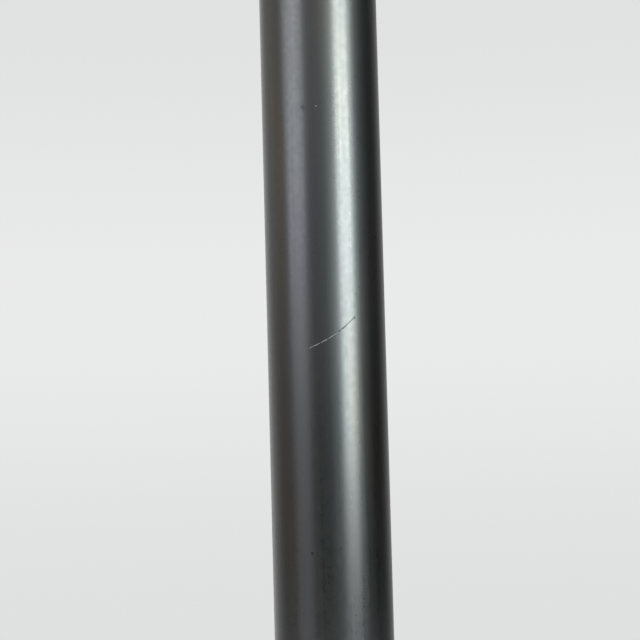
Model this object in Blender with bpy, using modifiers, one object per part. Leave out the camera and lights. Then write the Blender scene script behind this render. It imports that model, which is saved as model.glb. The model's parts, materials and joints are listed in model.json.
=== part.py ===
"""A customer pole display: a wide screen on a tilting, swivelling head, a steel pole and a weighted base.

Frame: metres, +Z up, origin on the counter under the pole, at the centre of the base. The screen faces -Y.
The swivel's pieces turn about the pole's axis, and the head's about the tilt axis, which is parallel to X.
"""

import math

import bmesh
import bpy
from mathutils import Matrix, Vector

GAP = 0.0003  # left between two pieces that touch
SINK = 0.0005  # how far a joined shape reaches into the one that it stands on
THROUGH = 0.020  # length of a cutter that goes right through a wall

# Base
BASE_WIDTH = 0.230
BASE_DEPTH = 0.160
BASE_CORNER = 0.034
BASE_RIM = 0.008
BASE_BACK = BASE_DEPTH / 2
COVER_TOP = 0.036
COVER_WALL = 0.0025
COVER_BOSS_RADIUS = 0.0040
COVER_PILOT_TOP = 0.0200  # the pilots in the bosses end here
COVER_SCREW_LENGTH = 0.0140
FOOT_HEIGHT = 0.0032
FOOT_RADIUS = 0.009
FOOT_TAPER = 0.86
PLATE_THICKNESS = 0.003
PLATE_BOTTOM = FOOT_HEIGHT + GAP
PLATE_TOP = PLATE_BOTTOM + PLATE_THICKNESS
BALLAST_SIZE = (0.206, 0.092, 0.013)
BALLAST_Y = -0.010
BALLAST_CORNER = 0.010
BALLAST_EDGE = 0.002
BALLAST_CLEARANCE = 0.002

# Pole: a 13 inch piece of stock 1.5 inch steel tube, held in a socket on the base plate
TUBE_RADIUS = 0.01905
TUBE_WALL = 0.0015
TUBE_BORE = TUBE_RADIUS - TUBE_WALL
TUBE_LENGTH = 0.330
TUBE_EDGE = 0.0003
SOCKET_BORE = TUBE_RADIUS + GAP
SOCKET_BOTTOM = PLATE_TOP + GAP
SOCKET_FLANGE_RADIUS = 0.034
SOCKET_FLANGE_TOP = SOCKET_BOTTOM + 0.005
SOCKET_LIP_RADIUS = 0.0150
SOCKET_LIP_TOP = SOCKET_BOTTOM + 0.0035
SOCKET_BOSS_RADIUS = 0.0245
SOCKET_TOP = COVER_TOP + 0.006
SOCKET_OUTER_CHAMFER = 0.001
SOCKET_BORE_CHAMFER = 0.0005
SOCKET_SCREW_LENGTH = 0.0078
TUBE_BOTTOM = SOCKET_LIP_TOP + GAP
TUBE_TOP = TUBE_BOTTOM + TUBE_LENGTH
SET_SCREW_RADIUS = 0.0025
SET_SCREW_KEY_RADIUS = 0.00145
SET_SCREW_KEY_DEPTH = 0.0015
SET_SCREW_Z = COVER_TOP + 0.0019
COLLAR_RADIUS = 0.034
COLLAR_HEIGHT = 0.0145
COLLAR_RIM = 0.0010
COLLAR_LIP_RADIUS = 0.0209
COLLAR_FLARE = 0.0100  # radius of the hollow curve between the collar's lip and its rim
COLLAR_FLARE_RISE = 0.0120  # height of that curve's centre above the collar's underside
CABLE_RADIUS = 0.0025
CABLE_SLOT = 0.009
CABLE_SLOT_TOP = 0.0265

# Swivel: the neck's spigot turns in a bush at the top of the tube
BUSH_FLANGE = 0.002
BUSH_BOTTOM = TUBE_TOP + GAP - 0.026
BUSH_RADIUS = TUBE_BORE - GAP
SPIGOT_RADIUS = 0.013
SPIGOT_BORE = 0.007
SPIGOT_CHAMFER = 0.0005
WASHER_RADIUS = 0.0184
WASHER_THICKNESS = 0.0008
THRUST_WASHER_RADIUS = 0.0168
THRUST_WASHER_THICKNESS = 0.001
CIRCLIP_RADIUS = 0.0152
CIRCLIP_THICKNESS = 0.0012
CIRCLIP_OPENING_DEG = 28.0
GROOVE_DEPTH = 0.001
GROOVE_WIDTH = CIRCLIP_THICKNESS + 2 * GAP
NECK_BOTTOM = TUBE_TOP + BUSH_FLANGE + WASHER_THICKNESS + 3 * GAP
NECK_EDGE = 0.0004
SPIGOT_BOTTOM = BUSH_BOTTOM - 0.006
PAN_LIMIT_DEG = 135.0
STOP_ZONE = 0.006  # height of the bush's lower recess, in which the stop pin travels
STOP_PIN_RADIUS = 0.0015
STOP_PIN_START = 0.0095
STOP_PIN_REACH = 0.0158
STOP_RECESS = STOP_PIN_REACH + 0.0002

# Tilt hinge, in the head's own frame, whose origin is on the tilt axis
TILT_AXIS_HEIGHT = NECK_BOTTOM + 0.021
EAR_RADIUS = 0.0155
EAR_GAP_HALF = 0.0118  # half the width between the neck's ears
SHOULDER_DROP = 0.0125  # from the tilt axis down to the neck's shoulders
SHOULDER_HALF = 0.0180
SHOULDER_CHAMFER = 0.005
BARREL_RADIUS = 0.014
BARREL_HALF = 0.0104
BARREL_CLEARANCE = 0.0008
BOLT_HOLE = 0.0030 + GAP
BOLT_HEAD_SEAT = TUBE_RADIUS - 0.0048  # how far out the hinge bolts' heads sit
BOLT_WELL = 0.0064
BOLT_REACH = 0.0062  # how close to the pole's axis the hinge bolts reach
HINGE_CAP_RADIUS = 0.0060
HINGE_CAP_HALF = 0.0008
HINGE_CAP_CROWN = ((0.0, 0.0008), (0.0040, 0.0005), (HINGE_CAP_RADIUS, -0.0002))
FRICTION_WASHER_RADIUS = 0.0110
STEM_DEPTH = 0.018
CABLE_WAY = 0.009
CABLE_SWING = (CABLE_WAY, 0.024, 0.020)

# Head, in the same frame
HEAD_WIDTH = 0.226
HEAD_HEIGHT = 0.090
HEAD_CORNER = 0.010
HEAD_FRONT = -0.027
HEAD_FRONT_RIM = 0.0035
HEAD_REAR = 0.019
HEAD_REAR_RIM = 0.0065
HEAD_SPLIT = -0.012
HEAD_BOTTOM = 0.0203
HEAD_MIDDLE = HEAD_BOTTOM + HEAD_HEIGHT / 2
CASE_WALL = 0.0025
CASE_BACK_WALL = 0.0045
BEZEL_FRONT_WALL = 0.0036
FILTER_SIZE = (0.206, 0.0016, 0.056)
FILTER_CORNER = 0.0048
WINDOW_SIZE = (0.178, 0.040)
WINDOW_CORNER = 0.003
DISPLAY_SIZE = (0.190, 0.0065, 0.044)
DISPLAY_CORNER = 0.001
BOARD_SIZE = (0.206, 0.0016, 0.066)
BOARD_BACK = -0.0114
BOARD_FRONT = BOARD_BACK - BOARD_SIZE[1]
BOARD_BOSS_RADIUS = 0.0035
BOARD_SCREW_LENGTH = 0.0085
BOARD_PILOT_DEPTH = 0.0080
CASE_BOSS_RADIUS = 0.0038
CASE_SCREW_LENGTH = 0.0240
CASE_PILOT_DEPTH = 0.0095
TOWER_RADIUS = 0.0047
TOWER_END = 0.0125
SCREW_WELL_RADIUS = 0.0033
SCREW_SEAT = 0.0062  # where the case screws' heads rest, in wells sunk from the back
BRACKET_BOSS_RADIUS = 0.0042
BRACKET_BOSS_HEIGHT = 0.009
BRACKET_PLATE = (0.062, 0.026, 0.0035)
BRACKET_PLATE_CORNER = 0.005
BRACKET_SCREW_LENGTH = 0.0110
BRACKET_PILOT_DEPTH = 0.009
BRACKET_PLATE_BOTTOM = HEAD_BOTTOM - GAP - BRACKET_PLATE[2]
BRACKET_Y = 0.004
VENT_COUNT = 9
VENT_PITCH = 0.0085
VENT_WIDTH = 0.0026
VENT_HEIGHT = 0.024
VENT_ROUND = 0.496  # radius of a vent's ends, as a share of its width
VENT_RISE = 0.012  # from the middle of the head up to the middle of the vents
CABLE_HOLE_RADIUS = 0.0055
CHIP_SIZE = (0.022, 0.0026, 0.022)
CHIP_PLACE = (-0.030, 0.000)  # on the board, from its middle
CHIP_CORNER = 0.001
TRANSFORMER_SIZE = (0.020, 0.0130, 0.017)
TRANSFORMER_PLACE = (-0.072, 0.004)
TRANSFORMER_CORNER = 0.002
DISPLAY_HEADER_SIZE = (0.0120, 0.0070, 0.0065)
DISPLAY_HEADER_PLACE = (0.022, -0.017)

# The cable through the pole is in three lengths, with a gap where it twists and one where it bends
CABLE_TWIST_Z = SPIGOT_BOTTOM - 0.0027
CABLE_BEND_HALF = 0.0018

# Electronics in the base
INTERFACE_Y = 0.060
INTERFACE_SIZE = (0.090, 0.031, 0.0016)
INTERFACE_BOTTOM = 0.0100
INTERFACE_TOP = INTERFACE_BOTTOM + INTERFACE_SIZE[2]
INTERFACE_SCREW_X = 0.040
INTERFACE_SCREW_LENGTH = 0.0065
INTERFACE_CORNER = 0.002
CONNECTOR_CORNER = 0.0006
BOARD_REST_RADIUS = 0.0030
BOARD_PEG_RADIUS = 0.0012
BOARD_PEG_TOP = INTERFACE_TOP + 0.0007
JACK_SIZE = (0.016, 0.0185, 0.0135)
JACK_X = 0.022
JACK_FRONT = BASE_BACK - 0.0005
JACK_CAVITY = (0.0118, 0.0150, 0.0074)
JACK_CAVITY_RISE = 0.0008
LATCH_WAY = (0.0062, 0.0150, 0.0040)
LATCH_WAY_DROP = 0.0044
HEADER_Y = 0.0480
HEADER_SIZE = (0.0100, 0.0062, 0.0065)
SWITCH_X = -0.030
SWITCH_Z = 0.0190
SWITCH_BEZEL = (0.0152, 0.0012, 0.0108)
SWITCH_RIM = 0.0005
SWITCH_BODY = (0.0130, 0.0140, 0.0086)
SWITCH_CAVITY = (0.0118, 0.0120, 0.0074)
ROCKER_AXIS_DEPTH = 0.0015
ROCKER_ANGLE_DEG = 10.0
ROCKER_HALF = 0.0050
ROCKER_THICKNESS = 0.0068
ROCKER_BELLY = 0.0042
ROCKER_WAIST = 0.0008
ROCKER_CREST = 0.0046
ROCKER_DIP = 0.0036

ROUND_STEPS = 32
TUBE_STEPS = 48
SMALL_STEPS = 12
HOLE_STEPS = 16

SCREWS = {  # shank radius, head radius, head height
    "M3": (0.0015, 0.0029, 0.0019),
    "M4": (0.0020, 0.0034, 0.0022),
    "M6": (0.0030, 0.0058, 0.0022),
}

COLOURS = {  # red, green, blue, roughness, metallic
    "gunmetal": (0.070, 0.072, 0.074, 0.32, 1.0),
    "charcoal_plastic": (0.036, 0.037, 0.040, 0.55, 0.0),
    "black_plastic": (0.015, 0.015, 0.016, 0.45, 0.0),
    "painted_casting": (0.045, 0.046, 0.048, 0.50, 0.0),
    "cast_aluminium": (0.50, 0.50, 0.49, 0.42, 1.0),
    "steel": (0.58, 0.57, 0.55, 0.30, 1.0),
    "cast_iron": (0.10, 0.10, 0.105, 0.70, 1.0),
    "rubber": (0.020, 0.020, 0.020, 0.90, 0.0),
    "acetal": (0.024, 0.024, 0.025, 0.40, 0.0),
    "filter": (0.012, 0.035, 0.036, 0.08, 0.0),
    "display_glass": (0.12, 0.14, 0.14, 0.10, 0.0),
    "circuit_board": (0.020, 0.140, 0.060, 0.40, 0.0),
    "component": (0.020, 0.020, 0.022, 0.50, 0.0),
    "connector": (0.80, 0.78, 0.72, 0.50, 0.0),
    "cable": (0.030, 0.030, 0.032, 0.60, 0.0),
}

AXIS_INDEX = {"X": 0, "Y": 1, "Z": 2}
SAME_PLACE = 1e-7  # two coordinates closer than this are the same
SIDES = ((-1, "left"), (1, "right"))


def four_corners(x, y):
    return [(-x, -y), (x, -y), (x, y), (-x, y)]


def on_circle(radius, angle_deg):
    return (radius * math.cos(math.radians(angle_deg)), radius * math.sin(math.radians(angle_deg)))


FOOT_PLACES = four_corners(0.088, 0.053)
COVER_SCREW_PLACES = four_corners(0.060, 0.0670)
SOCKET_SCREW_PLACES = [on_circle(0.0293, angle) for angle in (146, 266, 386)]
BRACKET_SCREW_PLACES = [(x, BRACKET_Y + y) for x, y in four_corners(0.024, 0.007)]
BOARD_SCREW_PLACES = [(x, HEAD_MIDDLE + z) for x, z in four_corners(0.098, 0.028)]
CASE_SCREW_PLACES = [(x, HEAD_MIDDLE + z) for x, z in four_corners(0.1045, 0.0375)]

parts = bpy.data.collections.new("customer_pole_display")
cutters = bpy.data.collections.new("cutters")


# ---------------------------------------------------------------- helpers


def clear_scene():
    for old in list(bpy.data.objects):
        bpy.data.objects.remove(old)
    for collection in (parts, cutters):
        bpy.context.scene.collection.children.link(collection)
    cutters.hide_render = True


def material(name):
    found = bpy.data.materials.get(name)
    if found:
        return found
    red, green, blue, roughness, metallic = COLOURS[name]
    made = bpy.data.materials.new(name)
    made.use_nodes = True
    shader = made.node_tree.nodes["Principled BSDF"]
    shader.inputs["Base Color"].default_value = (red, green, blue, 1.0)
    shader.inputs["Roughness"].default_value = roughness
    shader.inputs["Metallic"].default_value = metallic
    made.diffuse_color = (red, green, blue, 1.0)
    return made


def place(name, data, colour, location=(0, 0, 0), parent=None):
    """A named object in the parts collection, or a hidden cutter when colour is None."""
    made = bpy.data.objects.new(name, data)
    made.location = location
    made.parent = parent
    if colour is None:
        cutters.objects.link(made)
        made.hide_render = True
        made.display_type = "WIRE"
    else:
        parts.objects.link(made)
        made.data.materials.append(material(colour))
    return made


def pivot(name, location):
    """An empty on a joint's axis, which carries the pieces that move about it."""
    made = bpy.data.objects.new(name, None)
    made.location = location
    parts.objects.link(made)
    return made


def mesh_from(bm, name):
    bmesh.ops.recalc_face_normals(bm, faces=bm.faces)
    mesh = bpy.data.meshes.new(name)
    bm.to_mesh(mesh)
    bm.free()
    return mesh


def edges_along(bm, axis):
    index = AXIS_INDEX[axis]
    across = [i for i in range(3) if i != index]
    return [e for e in bm.edges if all(abs(e.verts[0].co[i] - e.verts[1].co[i]) < SAME_PLACE for i in across)]


def at_end(bm, items, axis, sign):
    """Those edges or faces that lie wholly in the mesh's end face towards sign along axis."""
    index = AXIS_INDEX[axis]
    end = max(sign * v.co[index] for v in bm.verts)
    return [item for item in items if all(sign * v.co[index] > end - SAME_PLACE for v in item.verts)]


def round_edges(bm, edges, radius, steps):
    bmesh.ops.bevel(bm, geom=edges, offset=radius, segments=steps, profile=0.5, affect="EDGES")


def block(name, colour, size, centre, parent=None, upright="Z", corner=None, rim=None, open_end=0):
    """A box. corner is the (radius, steps) of its edges along the upright axis.

    rim is the (sign, radius, steps) of the outline of one end. open_end is the sign of an end with no face.
    """
    bm = bmesh.new()
    bmesh.ops.create_cube(bm, size=1.0, matrix=Matrix.Diagonal((*size, 1.0)))
    if corner:
        round_edges(bm, edges_along(bm, upright), *corner)
    if rim:
        sign, radius, steps = rim
        round_edges(bm, at_end(bm, bm.edges, upright, sign), radius, steps)
    if open_end:
        bmesh.ops.delete(bm, geom=at_end(bm, bm.faces, upright, open_end), context="FACES_ONLY")
    return place(name, mesh_from(bm, name), colour, centre, parent)


def cylinder(name, colour, radius, length, centre, axis="Z", steps=SMALL_STEPS, parent=None):
    bm = bmesh.new()
    bmesh.ops.create_cone(bm, cap_ends=True, segments=steps, radius1=radius, radius2=radius, depth=length)
    if axis == "X":
        bmesh.ops.rotate(bm, verts=bm.verts, matrix=Matrix.Rotation(math.pi / 2, 3, "Y"))
    if axis == "Y":
        bmesh.ops.rotate(bm, verts=bm.verts, matrix=Matrix.Rotation(math.pi / 2, 3, "X"))
    return place(name, mesh_from(bm, name), colour, centre, parent)


def turned(name, colour, profile, centre=(0, 0, 0), steps=ROUND_STEPS, closed=True, parent=None, along=None):
    """A profile of (radius, height) turned about Z. It runs down the outer side, from top to bottom.

    A closed profile makes a ring; an open one starts and ends on the axis. along points the turned Z axis.
    """
    mesh = bpy.data.meshes.new(name)
    edges = [(i, i + 1) for i in range(len(profile) - 1)]
    if closed:
        edges.append((len(profile) - 1, 0))
    mesh.from_pydata([(radius, 0.0, height) for radius, height in profile], edges, [])
    made = place(name, mesh, colour, centre, parent)
    if along:
        made.rotation_euler = Vector(along).to_track_quat("Z", "Y").to_euler()
    screw = made.modifiers.new("turn", "SCREW")
    screw.steps = steps
    screw.render_steps = steps
    screw.use_merge_vertices = True
    screw.merge_threshold = 1e-5
    screw.use_smooth_shade = True
    return made


def ring(name, colour, outer, inner, bottom, height, steps, centre=(0, 0, 0), parent=None, along=None):
    profile = [(outer, bottom + height), (outer, bottom), (inner, bottom), (inner, bottom + height)]
    return turned(name, colour, profile, centre, steps, parent=parent, along=along)


def prism(name, colour, outline, thickness, location=(0, 0, 0), rotation=(0, 0, 0), parent=None):
    """A flat closed outline in its own XY plane, extruded by half its thickness to each side, as a mesh."""
    curve = bpy.data.curves.new(name, "CURVE")
    curve.dimensions = "2D"
    curve.fill_mode = "BOTH"
    curve.extrude = thickness / 2
    spline = curve.splines.new("POLY")
    spline.points.add(len(outline) - 1)
    for point, (x, y) in zip(spline.points, outline):
        point.co = (x, y, 0.0, 1.0)
    spline.use_cyclic_u = True
    drawn = bpy.data.objects.new(name + "_outline", curve)
    bpy.context.scene.collection.objects.link(drawn)
    bpy.context.view_layer.update()
    graph = bpy.context.evaluated_depsgraph_get()
    mesh = bpy.data.meshes.new_from_object(drawn.evaluated_get(graph))
    bpy.data.objects.remove(drawn)
    bm = bmesh.new()
    bm.from_mesh(mesh)
    bmesh.ops.remove_doubles(bm, verts=bm.verts, dist=1e-6)
    made = place(name, mesh_from(bm, name), colour, location, parent)
    made.rotation_euler = rotation
    return made


def arc(radius, start_deg, end_deg, steps, centre=(0.0, 0.0)):
    """Points on an arc, ends included."""
    points = []
    for i in range(steps + 1):
        x, y = on_circle(radius, start_deg + (end_deg - start_deg) * i / steps)
        points.append((centre[0] + x, centre[1] + y))
    return points


def smooth_point(before, start, end, after, t):
    """A point at t from start to end, on the Catmull-Rom curve through four points."""
    bend = 2 * before - 5 * start + 4 * end - after
    twist = 3 * start - before - 3 * end + after
    return 0.5 * (2 * start + (end - before) * t + bend * t**2 + twist * t**3)


def cable(name, route, parent=None, steps_per_span=3):
    """A round cable on a smooth curve through the route's points."""
    ends = [Vector(point) for point in (route[0], *route, route[-1])]
    points = []
    for i in range(len(route) - 1):
        for step in range(steps_per_span):
            points.append(smooth_point(*ends[i : i + 4], step / steps_per_span))
    points.append(ends[-1])
    curve = bpy.data.curves.new(name, "CURVE")
    curve.dimensions = "3D"
    curve.bevel_depth = CABLE_RADIUS
    curve.bevel_resolution = 2
    curve.use_fill_caps = True
    spline = curve.splines.new("POLY")
    spline.points.add(len(points) - 1)
    for point, position in zip(spline.points, points):
        point.co = (*position, 1.0)
    return place(name, curve, "cable", parent=parent)


def combine(target, operation, others):
    for other in others:
        modifier = target.modifiers.new(other.name, "BOOLEAN")
        modifier.operation = operation
        modifier.object = other
        modifier.solver = "EXACT"


def cut(target, *others):
    combine(target, "DIFFERENCE", others)


def join(target, *others):
    combine(target, "UNION", others)


def shade(made, angle_deg=35.0):
    if made.type == "MESH" and made.data.polygons:
        made.data.shade_smooth()
        made.data.set_sharp_from_angle(angle=math.radians(angle_deg))


def screw(name, size, shank_length, under_head, along, parent=None):
    """A screw with its head's underside at under_head. along points from its tip to its head."""
    shank_radius, head_radius, head_height = SCREWS[size]
    profile = [
        (0.0, head_height),
        (head_radius, head_height / 2),
        (head_radius, 0.0),
        (shank_radius, 0.0),
        (shank_radius, -shank_length),
        (0.0, -shank_length),
    ]
    return turned(name, "steel", profile, under_head, SMALL_STEPS, closed=False, parent=parent, along=along)


def screw_hole(name, size, length, centre, axis="Z", parent=None):
    """A cutter for the clearance hole or pilot of a screw."""
    return cylinder(name, None, SCREWS[size][0] + GAP, length, centre, axis, parent=parent)


def rod_y(name, radius, start, end, x, z, hinge):
    """A cutter or a boss shape along Y, from start to end."""
    return cylinder(name, None, radius, end - start, (x, (start + end) / 2, z), "Y", parent=hinge)


# ---------------------------------------------------------------- base


def base_plate():
    edge = COVER_WALL + GAP
    size = (BASE_WIDTH - 2 * edge, BASE_DEPTH - 2 * edge, PLATE_THICKNESS)
    centre = (0, 0, PLATE_BOTTOM + PLATE_THICKNESS / 2)
    plate = block("base_plate", "steel", size, centre, corner=(BASE_CORNER - edge, 6))
    start = PLATE_TOP - SINK
    rest_height = INTERFACE_BOTTOM - GAP - start
    for side in (-1, 1):
        rest_centre = (side * INTERFACE_SCREW_X, INTERFACE_Y, start + rest_height / 2)
        join(plate, cylinder("board_rest", None, BOARD_REST_RADIUS, rest_height, rest_centre))
    peg_height = BOARD_PEG_TOP - start
    peg_centre = (-INTERFACE_SCREW_X, INTERFACE_Y, start + peg_height / 2)
    join(plate, cylinder("board_peg", None, BOARD_PEG_RADIUS, peg_height, peg_centre))
    cut(plate, screw_hole("rest_hole", "M3", THROUGH, (INTERFACE_SCREW_X, INTERFACE_Y, PLATE_TOP)))
    for x, y in COVER_SCREW_PLACES:
        cut(plate, screw_hole("cover_screw_hole", "M3", THROUGH, (x, y, PLATE_TOP)))
    for x, y in SOCKET_SCREW_PLACES:
        cut(plate, screw_hole("socket_screw_hole", "M4", THROUGH, (x, y, PLATE_TOP)))


def rubber_feet():
    profile = [(0, FOOT_HEIGHT), (FOOT_RADIUS, FOOT_HEIGHT), (FOOT_RADIUS * FOOT_TAPER, 0), (0, 0)]
    for number, (x, y) in enumerate(FOOT_PLACES, 1):
        turned(f"rubber_foot_{number}", "rubber", profile, (x, y, 0), 20, closed=False)


def ballast_weight():
    """A horseshoe casting round the pole's socket, open at the back."""
    centre = (0, BALLAST_Y, PLATE_TOP + GAP + BALLAST_SIZE[2] / 2)
    shape = {"corner": (BALLAST_CORNER, 4), "rim": (1, BALLAST_EDGE, 2)}
    weight = block("ballast_weight", "cast_iron", BALLAST_SIZE, centre, **shape)
    radius = SOCKET_FLANGE_RADIUS + BALLAST_CLEARANCE
    height = 3 * BALLAST_SIZE[2]
    opening_depth = BALLAST_SIZE[1]
    cut(
        weight,
        cylinder("socket_clearance", None, radius, height, (0, 0, PLATE_TOP), steps=ROUND_STEPS),
        block("back_opening", None, (2 * radius, opening_depth, height), (0, opening_depth / 2, PLATE_TOP)),
    )


def base_cover():
    height = COVER_TOP - PLATE_BOTTOM
    size = (BASE_WIDTH, BASE_DEPTH, height)
    centre = (0, 0, PLATE_BOTTOM + height / 2)
    shape = {"corner": (BASE_CORNER, 6), "rim": (1, BASE_RIM, 4), "open_end": -1}
    cover = block("base_cover", "charcoal_plastic", size, centre, **shape)
    wall = cover.modifiers.new("wall", "SOLIDIFY")
    wall.thickness = COVER_WALL
    wall.offset = -1
    wall.use_even_offset = True
    boss_bottom = PLATE_TOP + GAP
    boss_top = COVER_TOP - COVER_WALL / 2
    boss_middle = (boss_bottom + boss_top) / 2
    for x, y in COVER_SCREW_PLACES:
        boss = (COVER_BOSS_RADIUS, boss_top - boss_bottom, (x, y, boss_middle))
        join(cover, cylinder("cover_boss", None, *boss))
    pole_hole = SOCKET_BOSS_RADIUS + 2 * GAP
    jack_cut = (JACK_SIZE[0] + 2 * GAP, THROUGH, JACK_SIZE[2] + 2 * GAP)
    switch_cut = (SWITCH_BODY[0] + 2 * GAP, THROUGH, SWITCH_BODY[2] + 2 * GAP)
    cut(
        cover,
        cylinder("pole_hole", None, pole_hole, THROUGH, (0, 0, COVER_TOP), steps=ROUND_STEPS),
        block("jack_cut", None, jack_cut, jack_centre()),
        block("switch_cut", None, switch_cut, switch_point(0.0)),
    )
    for number, (x, y) in enumerate(COVER_SCREW_PLACES, 1):
        cut(cover, screw_hole("cover_pilot", "M3", 2 * (COVER_PILOT_TOP - PLATE_TOP), (x, y, PLATE_TOP)))
        under_head = (x, y, PLATE_BOTTOM - GAP)
        screw(f"cover_screw_{number}", "M3", COVER_SCREW_LENGTH, under_head, (0, 0, -1))


def jack_centre():
    return (JACK_X, JACK_FRONT - JACK_SIZE[1] / 2, INTERFACE_TOP + GAP + JACK_SIZE[2] / 2)


def switch_point(offset):
    """A point on the switch's axis, at offset outward from the base's rear face."""
    return (SWITCH_X, BASE_BACK + offset, SWITCH_Z)


def interface_electronics():
    board_centre = (0, INTERFACE_Y, INTERFACE_BOTTOM + INTERFACE_SIZE[2] / 2)
    corner = (INTERFACE_CORNER, 2)
    board = block("interface_board", "circuit_board", INTERFACE_SIZE, board_centre, corner=corner)
    for side in (-1, 1):
        fixing_hole = (side * INTERFACE_SCREW_X, INTERFACE_Y, INTERFACE_BOTTOM)
        cut(board, screw_hole("fixing_hole", "M3", THROUGH, fixing_hole))
    under_head = (INTERFACE_SCREW_X, INTERFACE_Y, INTERFACE_TOP + GAP)
    screw("interface_screw", "M3", INTERFACE_SCREW_LENGTH, under_head, (0, 0, 1))
    x, _, z = jack_centre()
    jack = block("data_jack", "black_plastic", JACK_SIZE, jack_centre())
    cavity_y = JACK_FRONT + SINK - JACK_CAVITY[1] / 2
    cut(
        jack,
        block("jack_cavity", None, JACK_CAVITY, (x, cavity_y, z + JACK_CAVITY_RISE)),
        block("jack_latch_way", None, LATCH_WAY, (x, cavity_y, z - LATCH_WAY_DROP)),
    )
    header_centre = (0, HEADER_Y, INTERFACE_TOP + GAP + HEADER_SIZE[2] / 2)
    block("harness_header", "connector", HEADER_SIZE, header_centre, corner=(CONNECTOR_CORNER, 1))


def power_switch():
    bezel_centre = switch_point(GAP + SWITCH_BEZEL[1] / 2)
    shape = {"upright": "Y", "rim": (1, SWITCH_RIM, 1)}
    switch = block("switch_housing", "black_plastic", SWITCH_BEZEL, bezel_centre, **shape)
    body_size = (SWITCH_BODY[0], SWITCH_BODY[1] + SINK, SWITCH_BODY[2])
    join(switch, block("switch_body", None, body_size, switch_point(GAP + SINK - body_size[1] / 2)))
    mouth = GAP + SWITCH_BEZEL[1] + SINK
    cut(switch, block("rocker_cavity", None, SWITCH_CAVITY, switch_point(mouth - SWITCH_CAVITY[1] / 2)))
    axle = pivot("rocker_axis", switch_point(-ROCKER_AXIS_DEPTH))
    outline = [
        (ROCKER_HALF, ROCKER_CREST),
        (0.0, ROCKER_DIP),
        (-ROCKER_HALF, ROCKER_CREST),
        (-ROCKER_HALF, ROCKER_WAIST),
        *arc(ROCKER_BELLY, 180.0, 360.0, 8),
        (ROCKER_HALF, ROCKER_WAIST),
    ]
    pressed = (0, 0, math.radians(-ROCKER_ANGLE_DEG))
    prism("power_rocker", "black_plastic", outline, ROCKER_THICKNESS, rotation=pressed, parent=axle)


# ---------------------------------------------------------------- pole


def pole_socket():
    profile = [
        (SOCKET_BOSS_RADIUS - SOCKET_OUTER_CHAMFER, SOCKET_TOP),
        (SOCKET_BOSS_RADIUS, SOCKET_TOP - SOCKET_OUTER_CHAMFER),
        (SOCKET_BOSS_RADIUS, SOCKET_FLANGE_TOP),
        (SOCKET_FLANGE_RADIUS, SOCKET_FLANGE_TOP),
        (SOCKET_FLANGE_RADIUS, SOCKET_BOTTOM),
        (SOCKET_LIP_RADIUS, SOCKET_BOTTOM),
        (SOCKET_LIP_RADIUS, SOCKET_LIP_TOP),
        (SOCKET_BORE, SOCKET_LIP_TOP),
        (SOCKET_BORE, SOCKET_TOP - SOCKET_BORE_CHAMFER),
        (SOCKET_BORE + SOCKET_BORE_CHAMFER, SOCKET_TOP),
    ]
    socket = turned("pole_socket", "cast_aluminium", profile, steps=40)
    slot_bottom = SOCKET_FLANGE_TOP + GAP
    slot_height = CABLE_SLOT_TOP - slot_bottom
    slot_centre = (0, SOCKET_BOSS_RADIUS, slot_bottom + slot_height / 2)
    hole = SET_SCREW_RADIUS + GAP
    depth = 2 * (SOCKET_BOSS_RADIUS - SOCKET_BORE) + SINK
    wall_point = (0, SOCKET_BOSS_RADIUS, SET_SCREW_Z)
    cut(
        socket,
        block("socket_cable_slot", None, (CABLE_SLOT, depth, slot_height), slot_centre),
        cylinder("set_screw_hole", None, hole, depth, wall_point, "Y", 14),
    )
    for number, (x, y) in enumerate(SOCKET_SCREW_PLACES, 1):
        cut(socket, screw_hole("flange_hole", "M4", THROUGH, (x, y, SOCKET_BOTTOM)))
        screw(f"socket_screw_{number}", "M4", SOCKET_SCREW_LENGTH, (x, y, SOCKET_FLANGE_TOP + GAP), (0, 0, 1))
    length = SOCKET_BOSS_RADIUS - TUBE_RADIUS - 3 * GAP
    centre = (0, TUBE_RADIUS + GAP + length / 2, SET_SCREW_Z)
    set_screw = cylinder("set_screw", "steel", SET_SCREW_RADIUS, length, centre, "Y")
    key_end = (0, centre[1] + length / 2, SET_SCREW_Z)
    key = (SET_SCREW_KEY_RADIUS, 2 * SET_SCREW_KEY_DEPTH, key_end)
    cut(set_screw, cylinder("hex_drive", None, *key, "Y", 6))


def pole_collar():
    bottom = COVER_TOP + GAP
    top = bottom + COLLAR_HEIGHT
    flare_centre = (COLLAR_LIP_RADIUS + COLLAR_FLARE + 2 * GAP, bottom + COLLAR_FLARE_RISE)
    pole_hole = SOCKET_BOSS_RADIUS + 2 * GAP
    profile = [
        (SOCKET_BORE, top),
        (COLLAR_LIP_RADIUS, top),
        *arc(COLLAR_FLARE, 180.0, 260.0, 4, flare_centre),
        (COLLAR_RADIUS, bottom + COLLAR_RIM),
        (COLLAR_RADIUS, bottom),
        (pole_hole, bottom),
        (pole_hole, SOCKET_TOP + GAP),
        (SOCKET_BORE, SOCKET_TOP + 4 * GAP),
    ]
    turned("pole_collar", "black_plastic", profile)


def pole_tube():
    profile = [
        (TUBE_RADIUS - TUBE_EDGE, TUBE_TOP),
        (TUBE_RADIUS, TUBE_TOP - TUBE_EDGE),
        (TUBE_RADIUS, TUBE_BOTTOM + TUBE_EDGE),
        (TUBE_RADIUS - TUBE_EDGE, TUBE_BOTTOM),
        (TUBE_BORE, TUBE_BOTTOM),
        (TUBE_BORE, TUBE_TOP),
    ]
    tube = turned("pole_tube", "gunmetal", profile, steps=TUBE_STEPS)
    slot_bottom = TUBE_BOTTOM - 4 * GAP
    slot_height = CABLE_SLOT_TOP - slot_bottom
    slot_centre = (0, TUBE_RADIUS, slot_bottom + slot_height / 2)
    cut(tube, block("tube_cable_slot", None, (CABLE_SLOT, TUBE_RADIUS, slot_height), slot_centre))


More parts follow.
